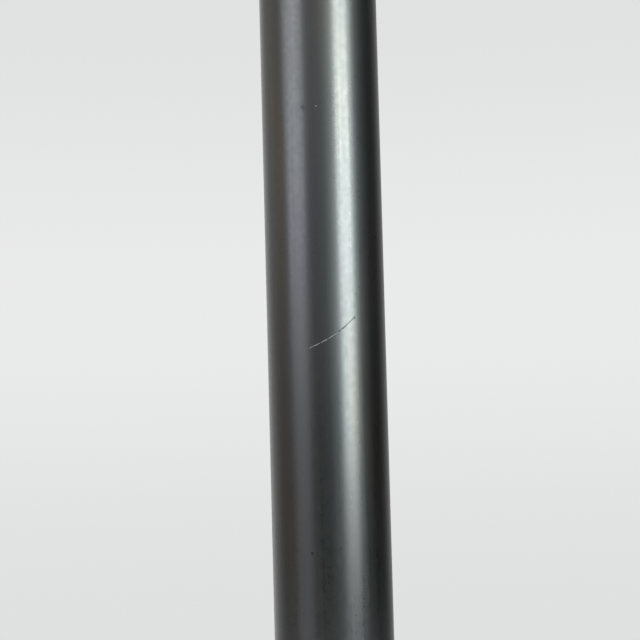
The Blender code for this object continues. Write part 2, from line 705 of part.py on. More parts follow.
def pole_harness():
    """The cable from the neck's spigot down the tube, out through its slot and to the base's header."""
    header_z = INTERFACE_TOP + GAP + HEADER_SIZE[2] / 2
    header_front = HEADER_Y - HEADER_SIZE[1] / 2 - GAP
    straight = [(0, 0, z) for z in (CABLE_TWIST_Z - GAP, 0.255, 0.200, 0.145, 0.090, 0.048)]
    bend = [(0, 0.0008, 0.0330), (0, 0.0045, 0.0238), (0, 0.0125, 0.0184)]
    lead = [(0, 0.0230, 0.0172), (0, 0.0340, 0.0160), (0, header_front, header_z)]
    cable("pole_harness", straight + bend + lead)


# ---------------------------------------------------------------- swivel


def swivel_bush():
    flange_bottom = TUBE_TOP + GAP
    bore = SPIGOT_RADIUS + GAP
    profile = [
        (TUBE_RADIUS, flange_bottom + BUSH_FLANGE),
        (TUBE_RADIUS, flange_bottom),
        (BUSH_RADIUS, flange_bottom),
        (BUSH_RADIUS, BUSH_BOTTOM),
        (STOP_RECESS, BUSH_BOTTOM),
        (STOP_RECESS, BUSH_BOTTOM + STOP_ZONE),
        (bore, BUSH_BOTTOM + STOP_ZONE),
        (bore, flange_bottom + BUSH_FLANGE),
    ]
    bush = turned("swivel_bush", "acetal", profile)
    pin_half_deg = math.degrees(math.asin((STOP_PIN_RADIUS + GAP) / bore))
    lug_half_deg = 180.0 - PAN_LIMIT_DEG - pin_half_deg
    outline = arc(bore, 90.0 - lug_half_deg, 90.0 + lug_half_deg, 8)
    outline += arc(STOP_RECESS + SINK, 90.0 + lug_half_deg, 90.0 - lug_half_deg, 8)
    lug_height = STOP_ZONE + SINK
    join(bush, prism("stop_lug", None, outline, lug_height, (0, 0, BUSH_BOTTOM + lug_height / 2)))


def neck_side_view(axis):
    """The neck's outline seen along X. Its ears are round about the tilt axis, at height axis."""
    wide = 2 * TUBE_RADIUS
    low = 2 * (SPIGOT_BOTTOM - NECK_BOTTOM)
    shoulder = axis - SHOULDER_DROP
    chamfer_bottom = shoulder - SHOULDER_CHAMFER
    right = [(wide, low), (wide, chamfer_bottom), (TUBE_RADIUS, chamfer_bottom), (SHOULDER_HALF, shoulder)]
    ear = arc(EAR_RADIUS, -15.0, 195.0, 16, centre=(0.0, axis))
    left = [(-x, y) for x, y in reversed(right)]
    return right + ear + left


def neck():
    """The fork that carries the head, with the spigot that turns in the bush, and what turns with it."""
    swivel = pivot("pan_axis", (0, 0, NECK_BOTTOM))
    axis = TILT_AXIS_HEIGHT - NECK_BOTTOM
    spigot_bottom = SPIGOT_BOTTOM - NECK_BOTTOM
    bush_bottom = BUSH_BOTTOM - NECK_BOTTOM
    groove_top = bush_bottom - THRUST_WASHER_THICKNESS - GAP
    groove_bottom = groove_top - GROOVE_WIDTH
    groove_radius = SPIGOT_RADIUS - GROOVE_DEPTH
    crown = axis + EAR_RADIUS + SINK
    profile = [
        (0.0, crown),
        (TUBE_RADIUS, crown),
        (TUBE_RADIUS, NECK_EDGE),
        (TUBE_RADIUS - NECK_EDGE, 0.0),
        (SPIGOT_RADIUS, 0.0),
        (SPIGOT_RADIUS, groove_top),
        (groove_radius, groove_top),
        (groove_radius, groove_bottom),
        (SPIGOT_RADIUS, groove_bottom),
        (SPIGOT_RADIUS, spigot_bottom + SPIGOT_CHAMFER),
        (SPIGOT_RADIUS - SPIGOT_CHAMFER, spigot_bottom),
        (0.0, spigot_bottom),
    ]
    fork = turned("neck_fork", "painted_casting", profile, steps=40, closed=False, parent=swivel)
    upright = (math.pi / 2, 0, math.pi / 2)
    view = neck_side_view(axis)
    across = 4 * TUBE_RADIUS
    combine(fork, "INTERSECT", [prism("fork_envelope", None, view, across, rotation=upright, parent=swivel)])
    slot_bottom = axis - BARREL_RADIUS - BARREL_CLEARANCE
    slot_size = (2 * EAR_GAP_HALF, across, across)
    slot_centre = (0, 0, slot_bottom + across / 2)
    stop_z = bush_bottom + STOP_ZONE / 2
    pin_hole_end = STOP_PIN_START - SINK
    cut(
        fork,
        block("fork_slot", None, slot_size, slot_centre, swivel),
        cylinder("spigot_bore", None, SPIGOT_BORE, 2 * across, (0, 0, 0), "Z", HOLE_STEPS, swivel),
        cylinder("hinge_hole", None, BOLT_HOLE, across, (0, 0, axis), "X", HOLE_STEPS, swivel),
        rod_y("stop_pin_hole", STOP_PIN_RADIUS + GAP, -THROUGH, -pin_hole_end, 0, stop_z, swivel),
    )
    for side, name in SIDES:
        well_centre = (side * (BOLT_HEAD_SEAT + THROUGH / 2), 0, axis)
        cut(fork, cylinder("bolt_well", None, BOLT_WELL, THROUGH, well_centre, "X", HOLE_STEPS, swivel))
        hinge_cap(f"hinge_cap_{name}", side, (side * (TUBE_RADIUS - HINGE_CAP_HALF), 0, axis), swivel)
    pin_length = STOP_PIN_REACH - STOP_PIN_START
    pin_centre = (0, -STOP_PIN_START - pin_length / 2, stop_z)
    cylinder("pan_stop_pin", "steel", STOP_PIN_RADIUS, pin_length, pin_centre, "Y", parent=swivel)
    washer = (WASHER_RADIUS, SPIGOT_RADIUS + 2 * GAP, -GAP - WASHER_THICKNESS, WASHER_THICKNESS)
    ring("swivel_washer", "steel", *washer, 24, parent=swivel)
    thrust = (THRUST_WASHER_RADIUS, SPIGOT_RADIUS + GAP, groove_top, THRUST_WASHER_THICKNESS)
    ring("thrust_washer", "acetal", *thrust, 24, parent=swivel)
    retaining_ring(groove_radius + GAP, groove_bottom + GROOVE_WIDTH / 2, swivel)
    neck_harness(CABLE_TWIST_Z - NECK_BOTTOM, axis - CABLE_BEND_HALF, swivel)


def hinge_cap(name, side, centre, parent):
    """A round plug over the hinge bolt's head, crowned to follow the neck's round side."""
    profile = [*HINGE_CAP_CROWN, (HINGE_CAP_RADIUS, -HINGE_CAP_HALF), (0.0, -HINGE_CAP_HALF)]
    turned(name, "black_plastic", profile, centre, 20, closed=False, parent=parent, along=(side, 0, 0))


def retaining_ring(inner, middle_z, parent):
    """A circlip: a flat ring with an opening at the back."""
    start, end = 90.0 + CIRCLIP_OPENING_DEG / 2, 450.0 - CIRCLIP_OPENING_DEG / 2
    outline = arc(CIRCLIP_RADIUS, start, end, 20) + arc(inner, end, start, 20)
    prism("retaining_ring", "steel", outline, CIRCLIP_THICKNESS, (0, 0, middle_z), parent=parent)


def neck_harness(bottom, top, parent):
    """The cable's straight stretch through the spigot, which turns with the neck."""
    cable("neck_harness", [(0, 0, bottom), (0, 0, (bottom + top) / 2), (0, 0, top)], parent)


# ---------------------------------------------------------------- head


def tilt_bracket(hinge):
    """The barrel between the neck's ears, its stem, and the plate that the head is screwed to."""
    barrel = (BARREL_RADIUS, 2 * BARREL_HALF, (0, 0, 0), "X", ROUND_STEPS, hinge)
    bracket = cylinder("tilt_bracket", "painted_casting", *barrel)
    stem_top = BRACKET_PLATE_BOTTOM + SINK
    plate_centre = (0, BRACKET_Y, BRACKET_PLATE_BOTTOM + BRACKET_PLATE[2] / 2)
    join(
        bracket,
        block("stem", None, (2 * BARREL_HALF, STEM_DEPTH, stem_top), (0, 0, stem_top / 2), hinge),
        block("bracket_plate", None, BRACKET_PLATE, plate_centre, hinge, corner=(BRACKET_PLATE_CORNER, 4)),
    )
    way_height = 3 * THROUGH
    cut(
        bracket,
        block("cable_way", None, (CABLE_WAY, CABLE_WAY, way_height), (0, 0, THROUGH), hinge),
        block("cable_swing", None, CABLE_SWING, (0, 0, -CABLE_SWING[2] / 2), hinge),
    )
    for side, name in SIDES:
        thread_end = BOLT_REACH - GAP
        thread = (BOLT_HOLE, 2 * (BARREL_HALF - thread_end), (side * BARREL_HALF, 0, 0))
        cut(bracket, cylinder("bolt_thread", None, *thread, "X", HOLE_STEPS, hinge))
        under_head = (side * (BOLT_HEAD_SEAT + GAP), 0, 0)
        screw(f"hinge_bolt_{name}", "M6", BOLT_HEAD_SEAT - BOLT_REACH, under_head, (side, 0, 0), hinge)
        half = (EAR_GAP_HALF - BARREL_HALF) / 2 - GAP
        washer = (FRICTION_WASHER_RADIUS, BOLT_HOLE, -half, 2 * half)
        centre = (side * (EAR_GAP_HALF + BARREL_HALF) / 2, 0, 0)
        ring(f"friction_washer_{name}", "acetal", *washer, 20, centre, hinge, (side, 0, 0))
    for number, (x, y) in enumerate(BRACKET_SCREW_PLACES, 1):
        cut(bracket, screw_hole("plate_hole", "M4", THROUGH, (x, y, BRACKET_PLATE_BOTTOM), parent=hinge))
        under_head = (x, y, BRACKET_PLATE_BOTTOM - GAP)
        screw(f"bracket_screw_{number}", "M4", BRACKET_SCREW_LENGTH, under_head, (0, 0, -1), hinge)


def case_hollow(name, start, end, hinge):
    """The room inside the head, from start to end along Y."""
    size = (HEAD_WIDTH - 2 * CASE_WALL, end - start, HEAD_HEIGHT - 2 * CASE_WALL)
    centre = (0, (start + end) / 2, HEAD_MIDDLE)
    return block(name, None, size, centre, hinge, upright="Y", corner=(HEAD_CORNER - CASE_WALL, 6))


def front_bezel(hinge):
    size = (HEAD_WIDTH, HEAD_SPLIT - HEAD_FRONT, HEAD_HEIGHT)
    centre = (0, (HEAD_FRONT + HEAD_SPLIT) / 2, HEAD_MIDDLE)
    shape = {"upright": "Y", "corner": (HEAD_CORNER, 6), "rim": (-1, HEAD_FRONT_RIM, 3)}
    bezel = block("front_bezel", "charcoal_plastic", size, centre, hinge, **shape)
    hollow_front = HEAD_FRONT + BEZEL_FRONT_WALL
    cut(bezel, case_hollow("bezel_hollow", hollow_front, 0.0, hinge))
    boss_front = hollow_front - SINK
    for x, z in BOARD_SCREW_PLACES:
        join(bezel, rod_y("board_boss", BOARD_BOSS_RADIUS, boss_front, BOARD_FRONT - GAP, x, z, hinge))
    for x, z in CASE_SCREW_PLACES:
        join(bezel, rod_y("case_boss", CASE_BOSS_RADIUS, boss_front, HEAD_SPLIT, x, z, hinge))
    front = (0, HEAD_FRONT, HEAD_MIDDLE)
    recess = (FILTER_SIZE[0] + 2 * GAP, 2 * (FILTER_SIZE[1] + GAP), FILTER_SIZE[2] + 2 * GAP)
    window = (WINDOW_SIZE[0], THROUGH, WINDOW_SIZE[1])
    cut(
        bezel,
        block("filter_recess", None, recess, front, hinge, upright="Y", corner=(FILTER_CORNER + GAP, 4)),
        block("window", None, window, front, hinge, upright="Y", corner=(WINDOW_CORNER, 3)),
    )
    pilot = SCREWS["M3"][0] + GAP
    for x, z in BOARD_SCREW_PLACES:
        cut(bezel, rod_y("board_pilot", pilot, BOARD_FRONT - BOARD_PILOT_DEPTH, 0.0, x, z, hinge))
    for x, z in CASE_SCREW_PLACES:
        cut(bezel, rod_y("case_pilot", pilot, HEAD_SPLIT - CASE_PILOT_DEPTH, 0.0, x, z, hinge))
    filter_centre = (0, HEAD_FRONT + FILTER_SIZE[1] / 2, HEAD_MIDDLE)
    filter_shape = {"upright": "Y", "corner": (FILTER_CORNER, 4)}
    block("display_filter", "filter", FILTER_SIZE, filter_centre, hinge, **filter_shape)


def rear_case(hinge):
    front = HEAD_SPLIT + GAP
    depth = HEAD_REAR - front
    shape = {"upright": "Y", "corner": (HEAD_CORNER, 6), "rim": (1, HEAD_REAR_RIM, 4)}
    centre = (0, front + depth / 2, HEAD_MIDDLE)
    case = block("rear_case", "charcoal_plastic", (HEAD_WIDTH, depth, HEAD_HEIGHT), centre, hinge, **shape)
    inner_back = HEAD_REAR - CASE_BACK_WALL
    cut(case, case_hollow("case_hollow", HEAD_FRONT, inner_back, hinge))
    for x, z in CASE_SCREW_PLACES:
        join(case, rod_y("screw_tower", TOWER_RADIUS, front, TOWER_END, x, z, hinge))
    boss_middle = HEAD_BOTTOM + CASE_WALL / 2 + BRACKET_BOSS_HEIGHT / 2
    for x, y in BRACKET_SCREW_PLACES:
        boss = (BRACKET_BOSS_RADIUS, BRACKET_BOSS_HEIGHT, (x, y, boss_middle))
        join(case, cylinder("bracket_boss", None, *boss, parent=hinge))
    for number in range(VENT_COUNT):
        x = (number - (VENT_COUNT - 1) / 2) * VENT_PITCH
        vent_size = (VENT_WIDTH, 3 * CASE_BACK_WALL, VENT_HEIGHT)
        vent_centre = (x, HEAD_REAR, HEAD_MIDDLE + VENT_RISE)
        vent_shape = {"upright": "Y", "corner": (VENT_ROUND * VENT_WIDTH, 2)}
        cut(case, block("vent", None, vent_size, vent_centre, hinge, **vent_shape))
    way = SCREWS["M3"][0] + GAP
    behind = HEAD_REAR + CASE_BACK_WALL
    below = (0, 0, HEAD_BOTTOM)
    cut(case, cylinder("cable_hole", None, CABLE_HOLE_RADIUS, THROUGH, below, "Z", HOLE_STEPS, hinge))
    for number, (x, z) in enumerate(CASE_SCREW_PLACES, 1):
        cut(case, rod_y("screw_way", way, HEAD_FRONT, behind, x, z, hinge))
        cut(case, rod_y("screw_well", SCREW_WELL_RADIUS, SCREW_SEAT, behind, x, z, hinge))
        screw(f"case_screw_{number}", "M3", CASE_SCREW_LENGTH, (x, SCREW_SEAT + GAP, z), (0, 1, 0), hinge)
    for x, y in BRACKET_SCREW_PLACES:
        pilot_length = 2 * BRACKET_PILOT_DEPTH
        cut(case, screw_hole("bracket_pilot", "M4", pilot_length, (x, y, HEAD_BOTTOM), parent=hinge))


def display_electronics(hinge):
    display_front = HEAD_FRONT + BEZEL_FRONT_WALL + 2 * GAP
    display_centre = (0, display_front + DISPLAY_SIZE[1] / 2, HEAD_MIDDLE)
    edge = {"upright": "Y", "corner": (DISPLAY_CORNER, 1)}
    block("vacuum_display", "display_glass", DISPLAY_SIZE, display_centre, hinge, **edge)
    board_centre = (0, (BOARD_FRONT + BOARD_BACK) / 2, HEAD_MIDDLE)
    board = block("display_board", "circuit_board", BOARD_SIZE, board_centre, hinge)
    for number, (x, z) in enumerate(BOARD_SCREW_PLACES, 1):
        cut(board, screw_hole("board_hole", "M3", THROUGH, (x, BOARD_BACK, z), "Y", hinge))
        under_head = (x, BOARD_BACK + GAP, z)
        screw(f"board_screw_{number}", "M3", BOARD_SCREW_LENGTH, under_head, (0, 1, 0), hinge)
    on_board = [  # name, colour, size, place on the board, corner radius
        ("controller_chip", "component", CHIP_SIZE, CHIP_PLACE, CHIP_CORNER),
        ("power_transformer", "component", TRANSFORMER_SIZE, TRANSFORMER_PLACE, TRANSFORMER_CORNER),
        ("display_header", "connector", DISPLAY_HEADER_SIZE, DISPLAY_HEADER_PLACE, CONNECTOR_CORNER),
    ]
    for name, colour, size, (x, z), corner in on_board:
        centre = (x, BOARD_BACK + GAP + size[1] / 2, HEAD_MIDDLE + z)
        block(name, colour, size, centre, hinge, upright="Y", corner=(corner, 2))


def head_harness(hinge):
    """The cable from the tilt axis up into the head and over to the header on the board."""
    header_back = BOARD_BACK + GAP + DISPLAY_HEADER_SIZE[1]
    x, z = DISPLAY_HEADER_PLACE
    route = [
        (0, 0, CABLE_BEND_HALF),
        (0, 0, 0.0100),
        (0, 0, 0.0190),
        (0.0008, 0.0006, 0.0290),
        (0.0060, 0.0034, 0.0400),
        (0.0160, 0.0042, 0.0468),
        (0.0215, 0.0016, 0.0482),
        (x, header_back + GAP, HEAD_MIDDLE + z),
    ]
    cable("head_harness", route, hinge)


def head():
    hinge = pivot("tilt_axis", (0, 0, TILT_AXIS_HEIGHT))
    tilt_bracket(hinge)
    front_bezel(hinge)
    rear_case(hinge)
    display_electronics(hinge)
    head_harness(hinge)


def main():
    clear_scene()
    base_plate()
    rubber_feet()
    ballast_weight()
    base_cover()
    interface_electronics()
    power_switch()
    pole_socket()
    pole_collar()
    pole_tube()
    pole_harness()
    swivel_bush()
    neck()
    head()
    for made in parts.objects:
        shade(made)


main()
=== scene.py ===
import json
from math import asin, atan2, cos, degrees, hypot, pi, radians, sin, tan

import bmesh
import bpy
import numpy as np
from mathutils import Matrix, Vector


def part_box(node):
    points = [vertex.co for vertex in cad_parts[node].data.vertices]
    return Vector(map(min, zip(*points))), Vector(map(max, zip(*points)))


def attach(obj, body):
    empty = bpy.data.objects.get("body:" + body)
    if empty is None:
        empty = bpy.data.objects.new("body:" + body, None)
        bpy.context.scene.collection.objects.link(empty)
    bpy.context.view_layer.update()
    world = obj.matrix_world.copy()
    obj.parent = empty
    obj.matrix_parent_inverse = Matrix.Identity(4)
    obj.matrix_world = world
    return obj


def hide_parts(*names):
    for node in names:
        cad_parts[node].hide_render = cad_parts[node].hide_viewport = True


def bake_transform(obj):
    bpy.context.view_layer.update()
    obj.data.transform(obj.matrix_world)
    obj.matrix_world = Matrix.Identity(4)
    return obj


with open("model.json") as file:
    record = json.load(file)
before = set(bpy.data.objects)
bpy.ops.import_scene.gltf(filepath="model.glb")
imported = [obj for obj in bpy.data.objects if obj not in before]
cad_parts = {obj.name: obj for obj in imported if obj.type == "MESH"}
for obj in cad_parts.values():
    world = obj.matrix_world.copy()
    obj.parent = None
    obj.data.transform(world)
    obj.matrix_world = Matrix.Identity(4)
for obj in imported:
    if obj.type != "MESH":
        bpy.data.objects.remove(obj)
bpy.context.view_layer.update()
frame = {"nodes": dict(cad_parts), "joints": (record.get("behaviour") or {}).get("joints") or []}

# The looks of the customer pole display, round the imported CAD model. Metres, +Z up, the screen faces -Y.

SEED = 7
JOINTS = {joint["name"]: Vector(joint["pos_m"]) for joint in frame["joints"]}
TILT_AXIS = JOINTS["head_tilt"]
ROCKER_AXIS = JOINTS["rocker_toggle"]


# ---- material nodes


class Nodes:
    """A node tree being filled in."""

    def __init__(self, tree):
        self.tree = tree

    def put(self, socket, value):
        """Link an output to the socket, or set the socket's own value."""
        if isinstance(value, bpy.types.NodeSocket):
            self.tree.links.new(value, socket)
        else:
            socket.default_value = value

    def node(self, kind, inputs=None, **settings):
        made = self.tree.nodes.new(kind)
        for key, value in settings.items():
            setattr(made, key, value)
        for key, value in (inputs or {}).items():
            self.put(made.inputs[key], value)
        return made

    def vector(self, operation, a, b=(0.0, 0.0, 0.0), output="Vector"):
        return self.node("ShaderNodeVectorMath", {0: a, 1: b}, operation=operation).outputs[output]

    def range(self, value, low, high, to_low, to_high):
        settings = {"Value": value, "From Min": low, "From Max": high, "To Min": to_low, "To Max": to_high}
        return self.node("ShaderNodeMapRange", settings).outputs["Result"]

    def ramp(self, value, *stops, interpolation="LINEAR"):
        """Colours or grey levels at places from 0 to 1."""
        made = self.node("ShaderNodeValToRGB", {"Fac": value})
        made.color_ramp.interpolation = interpolation
        elements = made.color_ramp.elements
        while len(elements) < len(stops):
            elements.new(0.5)
        for element, (at, colour) in zip(elements, stops):
            element.position = at
            element.color = (*colour, 1.0) if isinstance(colour, tuple) else (colour, colour, colour, 1.0)
        return made.outputs["Color"]


class Paint(Nodes):
    """A material being mixed: a Principled shader and the nodes that drive it."""

    def __init__(self, name, roughness=0.5, metallic=0.0, **sockets):
        self.material = bpy.data.materials.new(name)
        self.material.use_nodes = True
        super().__init__(self.material.node_tree)
        self.shader = self.tree.nodes["Principled BSDF"]
        self.shader.inputs["Roughness"].default_value = roughness
        self.shader.inputs["Metallic"].default_value = metallic
        for socket, value in sockets.items():
            self.shader.inputs[socket.replace("_", " ")].default_value = value
        self.place = self.node("ShaderNodeTexCoord").outputs["Object"]

    def finished(self, colour, roughness=None, normal=None):
        """The material, with what is given linked to its shader."""
        for name, value in (("Base Color", colour), ("Roughness", roughness), ("Normal", normal)):
            if value:
                self.put(self.shader.inputs[name], value)
        return self.material

    def stretched(self, scale):
        """The place, with each of its three directions multiplied."""
        return self.node("ShaderNodeMapping", {"Vector": self.place, "Scale": scale}).outputs["Vector"]

    def noise(self, scale, detail=3.0, rough=0.5, vector=None, distortion=0.0):
        settings = {"Vector": vector or self.place, "Scale": scale, "Detail": detail}
        settings.update({"Roughness": rough, "Distortion": distortion})
        return self.node("ShaderNodeTexNoise", settings).outputs["Fac"]

    def cells(self, scale, feature="F1", randomness=1.0):
        settings = {"Vector": self.place, "Scale": scale, "Randomness": randomness}
        return self.node("ShaderNodeTexVoronoi", settings, feature=feature).outputs["Distance"]

    def spread(self, noise, to_low, to_high):
        """The usual values of a noise, from 0.3 to 0.7, turned into others."""
        return self.range(noise, 0.3, 0.7, to_low, to_high)

    def sum(self, a, b, operation="ADD"):
        return self.node("ShaderNodeMath", {0: a, 1: b}, operation=operation).outputs["Value"]

    def mix(self, share, a, b):
        made = self.node("ShaderNodeMix", data_type="RGBA", blend_type="MIX")
        for number, value in ((0, share), (6, a), (7, b)):
            self.put(made.inputs[number], (*value, 1.0) if isinstance(value, tuple) else value)
        return made.outputs[2]

    def bump(self, height, distance, strength=1.0, normal=None):
        made = self.node("ShaderNodeBump", {"Height": height, "Distance": distance, "Strength": strength})
        if normal:
            self.put(made.inputs["Normal"], normal)
        return made.outputs["Normal"]

    def edges(self, radius, low=0.02, high=0.25):
        """1 on edges sharper than radius, 0 on flat and gently curved stretches."""
        rounded = self.node("ShaderNodeBevel", {"Radius": radius}, samples=4).outputs["Normal"]
        plain = self.node("ShaderNodeNewGeometry").outputs["Normal"]
        turn = self.vector("DOT_PRODUCT", rounded, plain, output="Value")
        return self.range(self.sum(1.0, turn, "SUBTRACT"), low, high, 0.0, 1.0)


def shade(colour, factor, lift=0.0):
    return tuple(min(1.0, c * factor + lift) for c in colour)


def plain_finish(name, roughness, noise, dark, light, rough=None, bump=None, **sockets):
    """A finish with one noise in its colour and its roughness.

    rough is its lowest and highest roughness. bump is a finer noise's settings, or None to use the same
    noise, and its depth and strength.
    """
    paint = Paint(name, roughness, **sockets)
    field = paint.noise(*noise)
    normal = None
    if bump:
        fine, depth, strength = bump
        normal = paint.bump(paint.noise(*fine) if fine else field, depth, strength)
    return paint.finished(paint.mix(field, dark, light), rough and paint.spread(field, *rough), normal)


def moulded_plastic(name, colour, roughness, grain, depth, wear):
    """Spark-textured plastic: a fine pebbled grain, faint handling marks, and edges rubbed lighter."""
    paint = Paint(name, roughness, Specular_IOR_Level=0.42)
    grain_height = paint.noise(1.0 / grain, 2.0, 0.6)
    smudge = paint.noise(38.0, 5.0, 0.62, distortion=0.6)
    dust = paint.ramp(paint.cells(900.0), (0.0, 0.35), (0.06, 0.0))
    body = paint.mix(smudge, shade(colour, 0.86), shade(colour, 1.22, 0.004))
    speckled = paint.mix(dust, body, shade(colour, 2.2, 0.03))
    rubbed = paint.sum(paint.edges(0.0008), wear, "MULTIPLY")
    fine = paint.bump(grain_height, depth)
    return paint.finished(
        colour=paint.mix(rubbed, speckled, shade(colour, 2.6, 0.05)),
        roughness=paint.spread(smudge, roughness - 0.07, roughness + 0.08),
        normal=paint.bump(paint.noise(70.0, 2.0), depth * 2.5, 0.4, fine),
    )


def powder_coat(name, colour):
    """Black powder paint: orange peel, a slight sparkle of roughness and thin, rubbed edges."""
    paint = Paint(name, 0.42, Specular_IOR_Level=0.5, Coat_Weight=0.15, Coat_Roughness=0.3)
    peel = paint.noise(900.0, 2.0, 0.5)
    cloud = paint.noise(55.0, 4.0, 0.6)
    body = paint.mix(cloud, shade(colour, 0.85), shade(colour, 1.25))
    edge = paint.sum(paint.edges(0.0005), paint.range(cloud, 0.35, 0.75, 0.0, 0.5), "MULTIPLY")
    sparkle = paint.bump(paint.noise(3500.0, 1.0), 0.00001, 0.5)
    return paint.finished(
        colour=paint.mix(edge, body, (0.22, 0.215, 0.21)),
        roughness=paint.spread(paint.noise(240.0, 3.0), 0.36, 0.5),
        normal=paint.bump(peel, 0.00004, 0.7, sparkle),
    )


def satin_gunmetal(name, marks):
    """The pole's dark coating: cloudy grey metal with a drawn, lengthwise satin, and a few specks.

    Each mark is an angle from the front towards +X in degrees, a height, a radius and a colour.
    """
    paint = Paint(name, 0.3, 1.0)
    cloud = paint.noise(30.0, 5.0, 0.62, vector=paint.stretched((1.0, 1.0, 0.4)), distortion=0.5)
    streak = paint.noise(75.0, 3.0, 0.6, vector=paint.stretched((1.0, 1.0, 0.12)))
    drawn = paint.noise(1100.0, 1.0, 0.5, vector=paint.stretched((1.0, 1.0, 0.01)))
    mottle = paint.noise(620.0, 2.0, 0.5)
    warm, green, blue = (0.162, 0.15, 0.143), (0.137, 0.148, 0.145), (0.141, 0.143, 0.154)
    tint = paint.ramp(streak, (0.34, warm), (0.5, green), (0.66, blue))
    cloudy = paint.mix(paint.range(cloud, 0.25, 0.75, 0.0, 0.3), tint, (0.18, 0.18, 0.18))
    grained = paint.mix(paint.range(drawn, 0.35, 0.65, 0.0, 0.1), cloudy, (0.09, 0.089, 0.088))
    colour = paint.mix(paint.spread(mottle, 0.0, 0.14), grained, (0.095, 0.098, 0.097))
    for angle, height, radius, mark in marks:
        turn = radians(angle)
        centre = (TUBE_RADIUS * sin(turn), -TUBE_RADIUS * cos(turn), height)
        apart = paint.vector("DISTANCE", paint.place, centre, output="Value")
        ragged = paint.sum(apart, paint.spread(mottle, -radius * 0.5, radius * 0.5))
        colour = paint.mix(paint.range(ragged, radius * 0.6, radius * 1.3, 1.0, 0.0), colour, mark)
    smooth_patches = paint.spread(mottle, -0.02, 0.02)
    base = paint.spread(cloud, 0.285, 0.325)
    lengthwise = paint.bump(drawn, 0.0000035, 1.0)
    return paint.finished(
        colour=colour,
        roughness=paint.sum(paint.sum(base, smooth_patches), paint.spread(drawn, -0.02, 0.02)),
        normal=paint.bump(mottle, 0.0000022, 0.6, lengthwise),
    )


def bare_metal(name, colour, roughness, metallic=1.0, scale=2600.0, stretch=(1.0, 1.0, 1.0)):
    """Uncoated metal, with fine machining or plating grain and slow clouds in its finish."""
    paint = Paint(name, roughness, metallic)
    fine = paint.noise(scale, 3.0, 0.6, vector=paint.stretched(stretch))
    cloud = paint.noise(90.0, 4.0, 0.6, distortion=0.5)
    uneven = paint.sum(paint.spread(cloud, -0.06, 0.07), paint.spread(fine, -0.05, 0.05))
    return paint.finished(
        colour=paint.mix(cloud, shade(colour, 0.82), shade(colour, 1.1)),
        roughness=paint.sum(uneven, roughness),
        normal=paint.bump(fine, 0.000008, 0.7),
    )


def scored_steel(name):
    """Bare steel in a scratch: bright at its left end, with dark patches of painted shade towards its right
    end, where the groove's walls face away from the key light.
    """
    paint = Paint(name, 0.42, 1.0)
    across = paint.node("ShaderNodeSeparateXYZ", {"Vector": paint.place}).outputs["X"]
    share = paint.range(across, 0.002, 0.005, 0.0, 0.24)
    patch = paint.noise(1700.0, 2.0, 0.6)
    # Painted shade: dark patches, more of them towards +X, where the scratch crosses the highlight and its
    # walls face away from the light.
    painted_shade = paint.range(paint.sum(patch, share), 0.62, 0.68, 0.0, 1.0)
    steel = paint.mix(paint.noise(3100.0, 2.0), (0.42, 0.42, 0.41), (0.6, 0.59, 0.58))
    return paint.finished(
        colour=paint.mix(painted_shade, steel, (0.022, 0.022, 0.024)),
        roughness=paint.spread(patch, 0.36, 0.5),
    )


def cast_metal(name, colour, roughness, grain_scale=900.0):
    paint = Paint(name, roughness, 1.0)
    grain = paint.noise(grain_scale, 5.0, 0.65)
    cloud = paint.noise(60.0, 4.0, 0.6)
    return paint.finished(
        colour=paint.mix(cloud, shade(colour, 0.7), shade(colour, 1.25)),
        roughness=paint.spread(grain, roughness - 0.1, roughness + 0.12),
        normal=paint.bump(grain, 0.00006, 0.8),
    )


def rubber(name, colour):
    """Black rubber with a pale bloom in patches."""
    paint = Paint(name, 0.85, Specular_IOR_Level=0.3)
    bloom = paint.noise(150.0, 5.0, 0.6)
    return paint.finished(
        colour=paint.mix(paint.ramp(bloom, (0.45, 0.0), (0.8, 0.6)), colour, (0.11, 0.11, 0.108)),
        roughness=paint.spread(bloom, 0.75, 0.95),
        normal=paint.bump(paint.noise(2200.0, 2.0), 0.00002, 0.7),
    )


def smooth_polymer(name, colour, roughness):
    """Nylon or acetal: slightly waxy, with flow marks from the mould."""
    flow = (120.0, 4.0, 0.55, None, 1.2)
    rough = (roughness - 0.06, roughness + 0.06)
    bump = ((1400.0, 2.0), 0.00001, 0.5)
    waxy = {"Subsurface_Weight": 0.15, "Subsurface_Scale": 0.001}
    return plain_finish(name, roughness, flow, shade(colour, 0.9), shade(colour, 1.05), rough, bump, **waxy)


def solder_mask(name):
    """Green circuit board: copper tracks show as slightly raised, lighter lines under the mask."""
    paint = Paint(name, 0.32, Specular_IOR_Level=0.5)
    line = paint.ramp(paint.cells(260.0, "DISTANCE_TO_EDGE", 0.35), (0.05, 1.0), (0.09, 0.0))
    weave = paint.noise(1900.0, 2.0)
    body = paint.mix(weave, (0.01, 0.09, 0.036), (0.016, 0.125, 0.052))
    return paint.finished(
        colour=paint.mix(line, body, (0.045, 0.23, 0.095)),
        roughness=paint.spread(weave, 0.26, 0.4),
        normal=paint.bump(line, 0.00004, 0.8),
    )


def smoked_acrylic(name):
    """The polished see-through window over the display, with faint wiping marks."""
    paint = Paint(name, 0.06, Specular_IOR_Level=0.6, Alpha=0.58)
    wipe = paint.noise(26.0, 5.0, 0.65, vector=paint.stretched((0.35, 1.0, 1.0)), distortion=0.8)
    return paint.finished(
        colour=paint.mix(wipe, (0.0045, 0.01, 0.0105), (0.0065, 0.0135, 0.014)),
        roughness=paint.range(wipe, 0.35, 0.75, 0.035, 0.11),
        normal=paint.bump(paint.noise(9.0, 2.0), 0.00006, 0.3),
    )


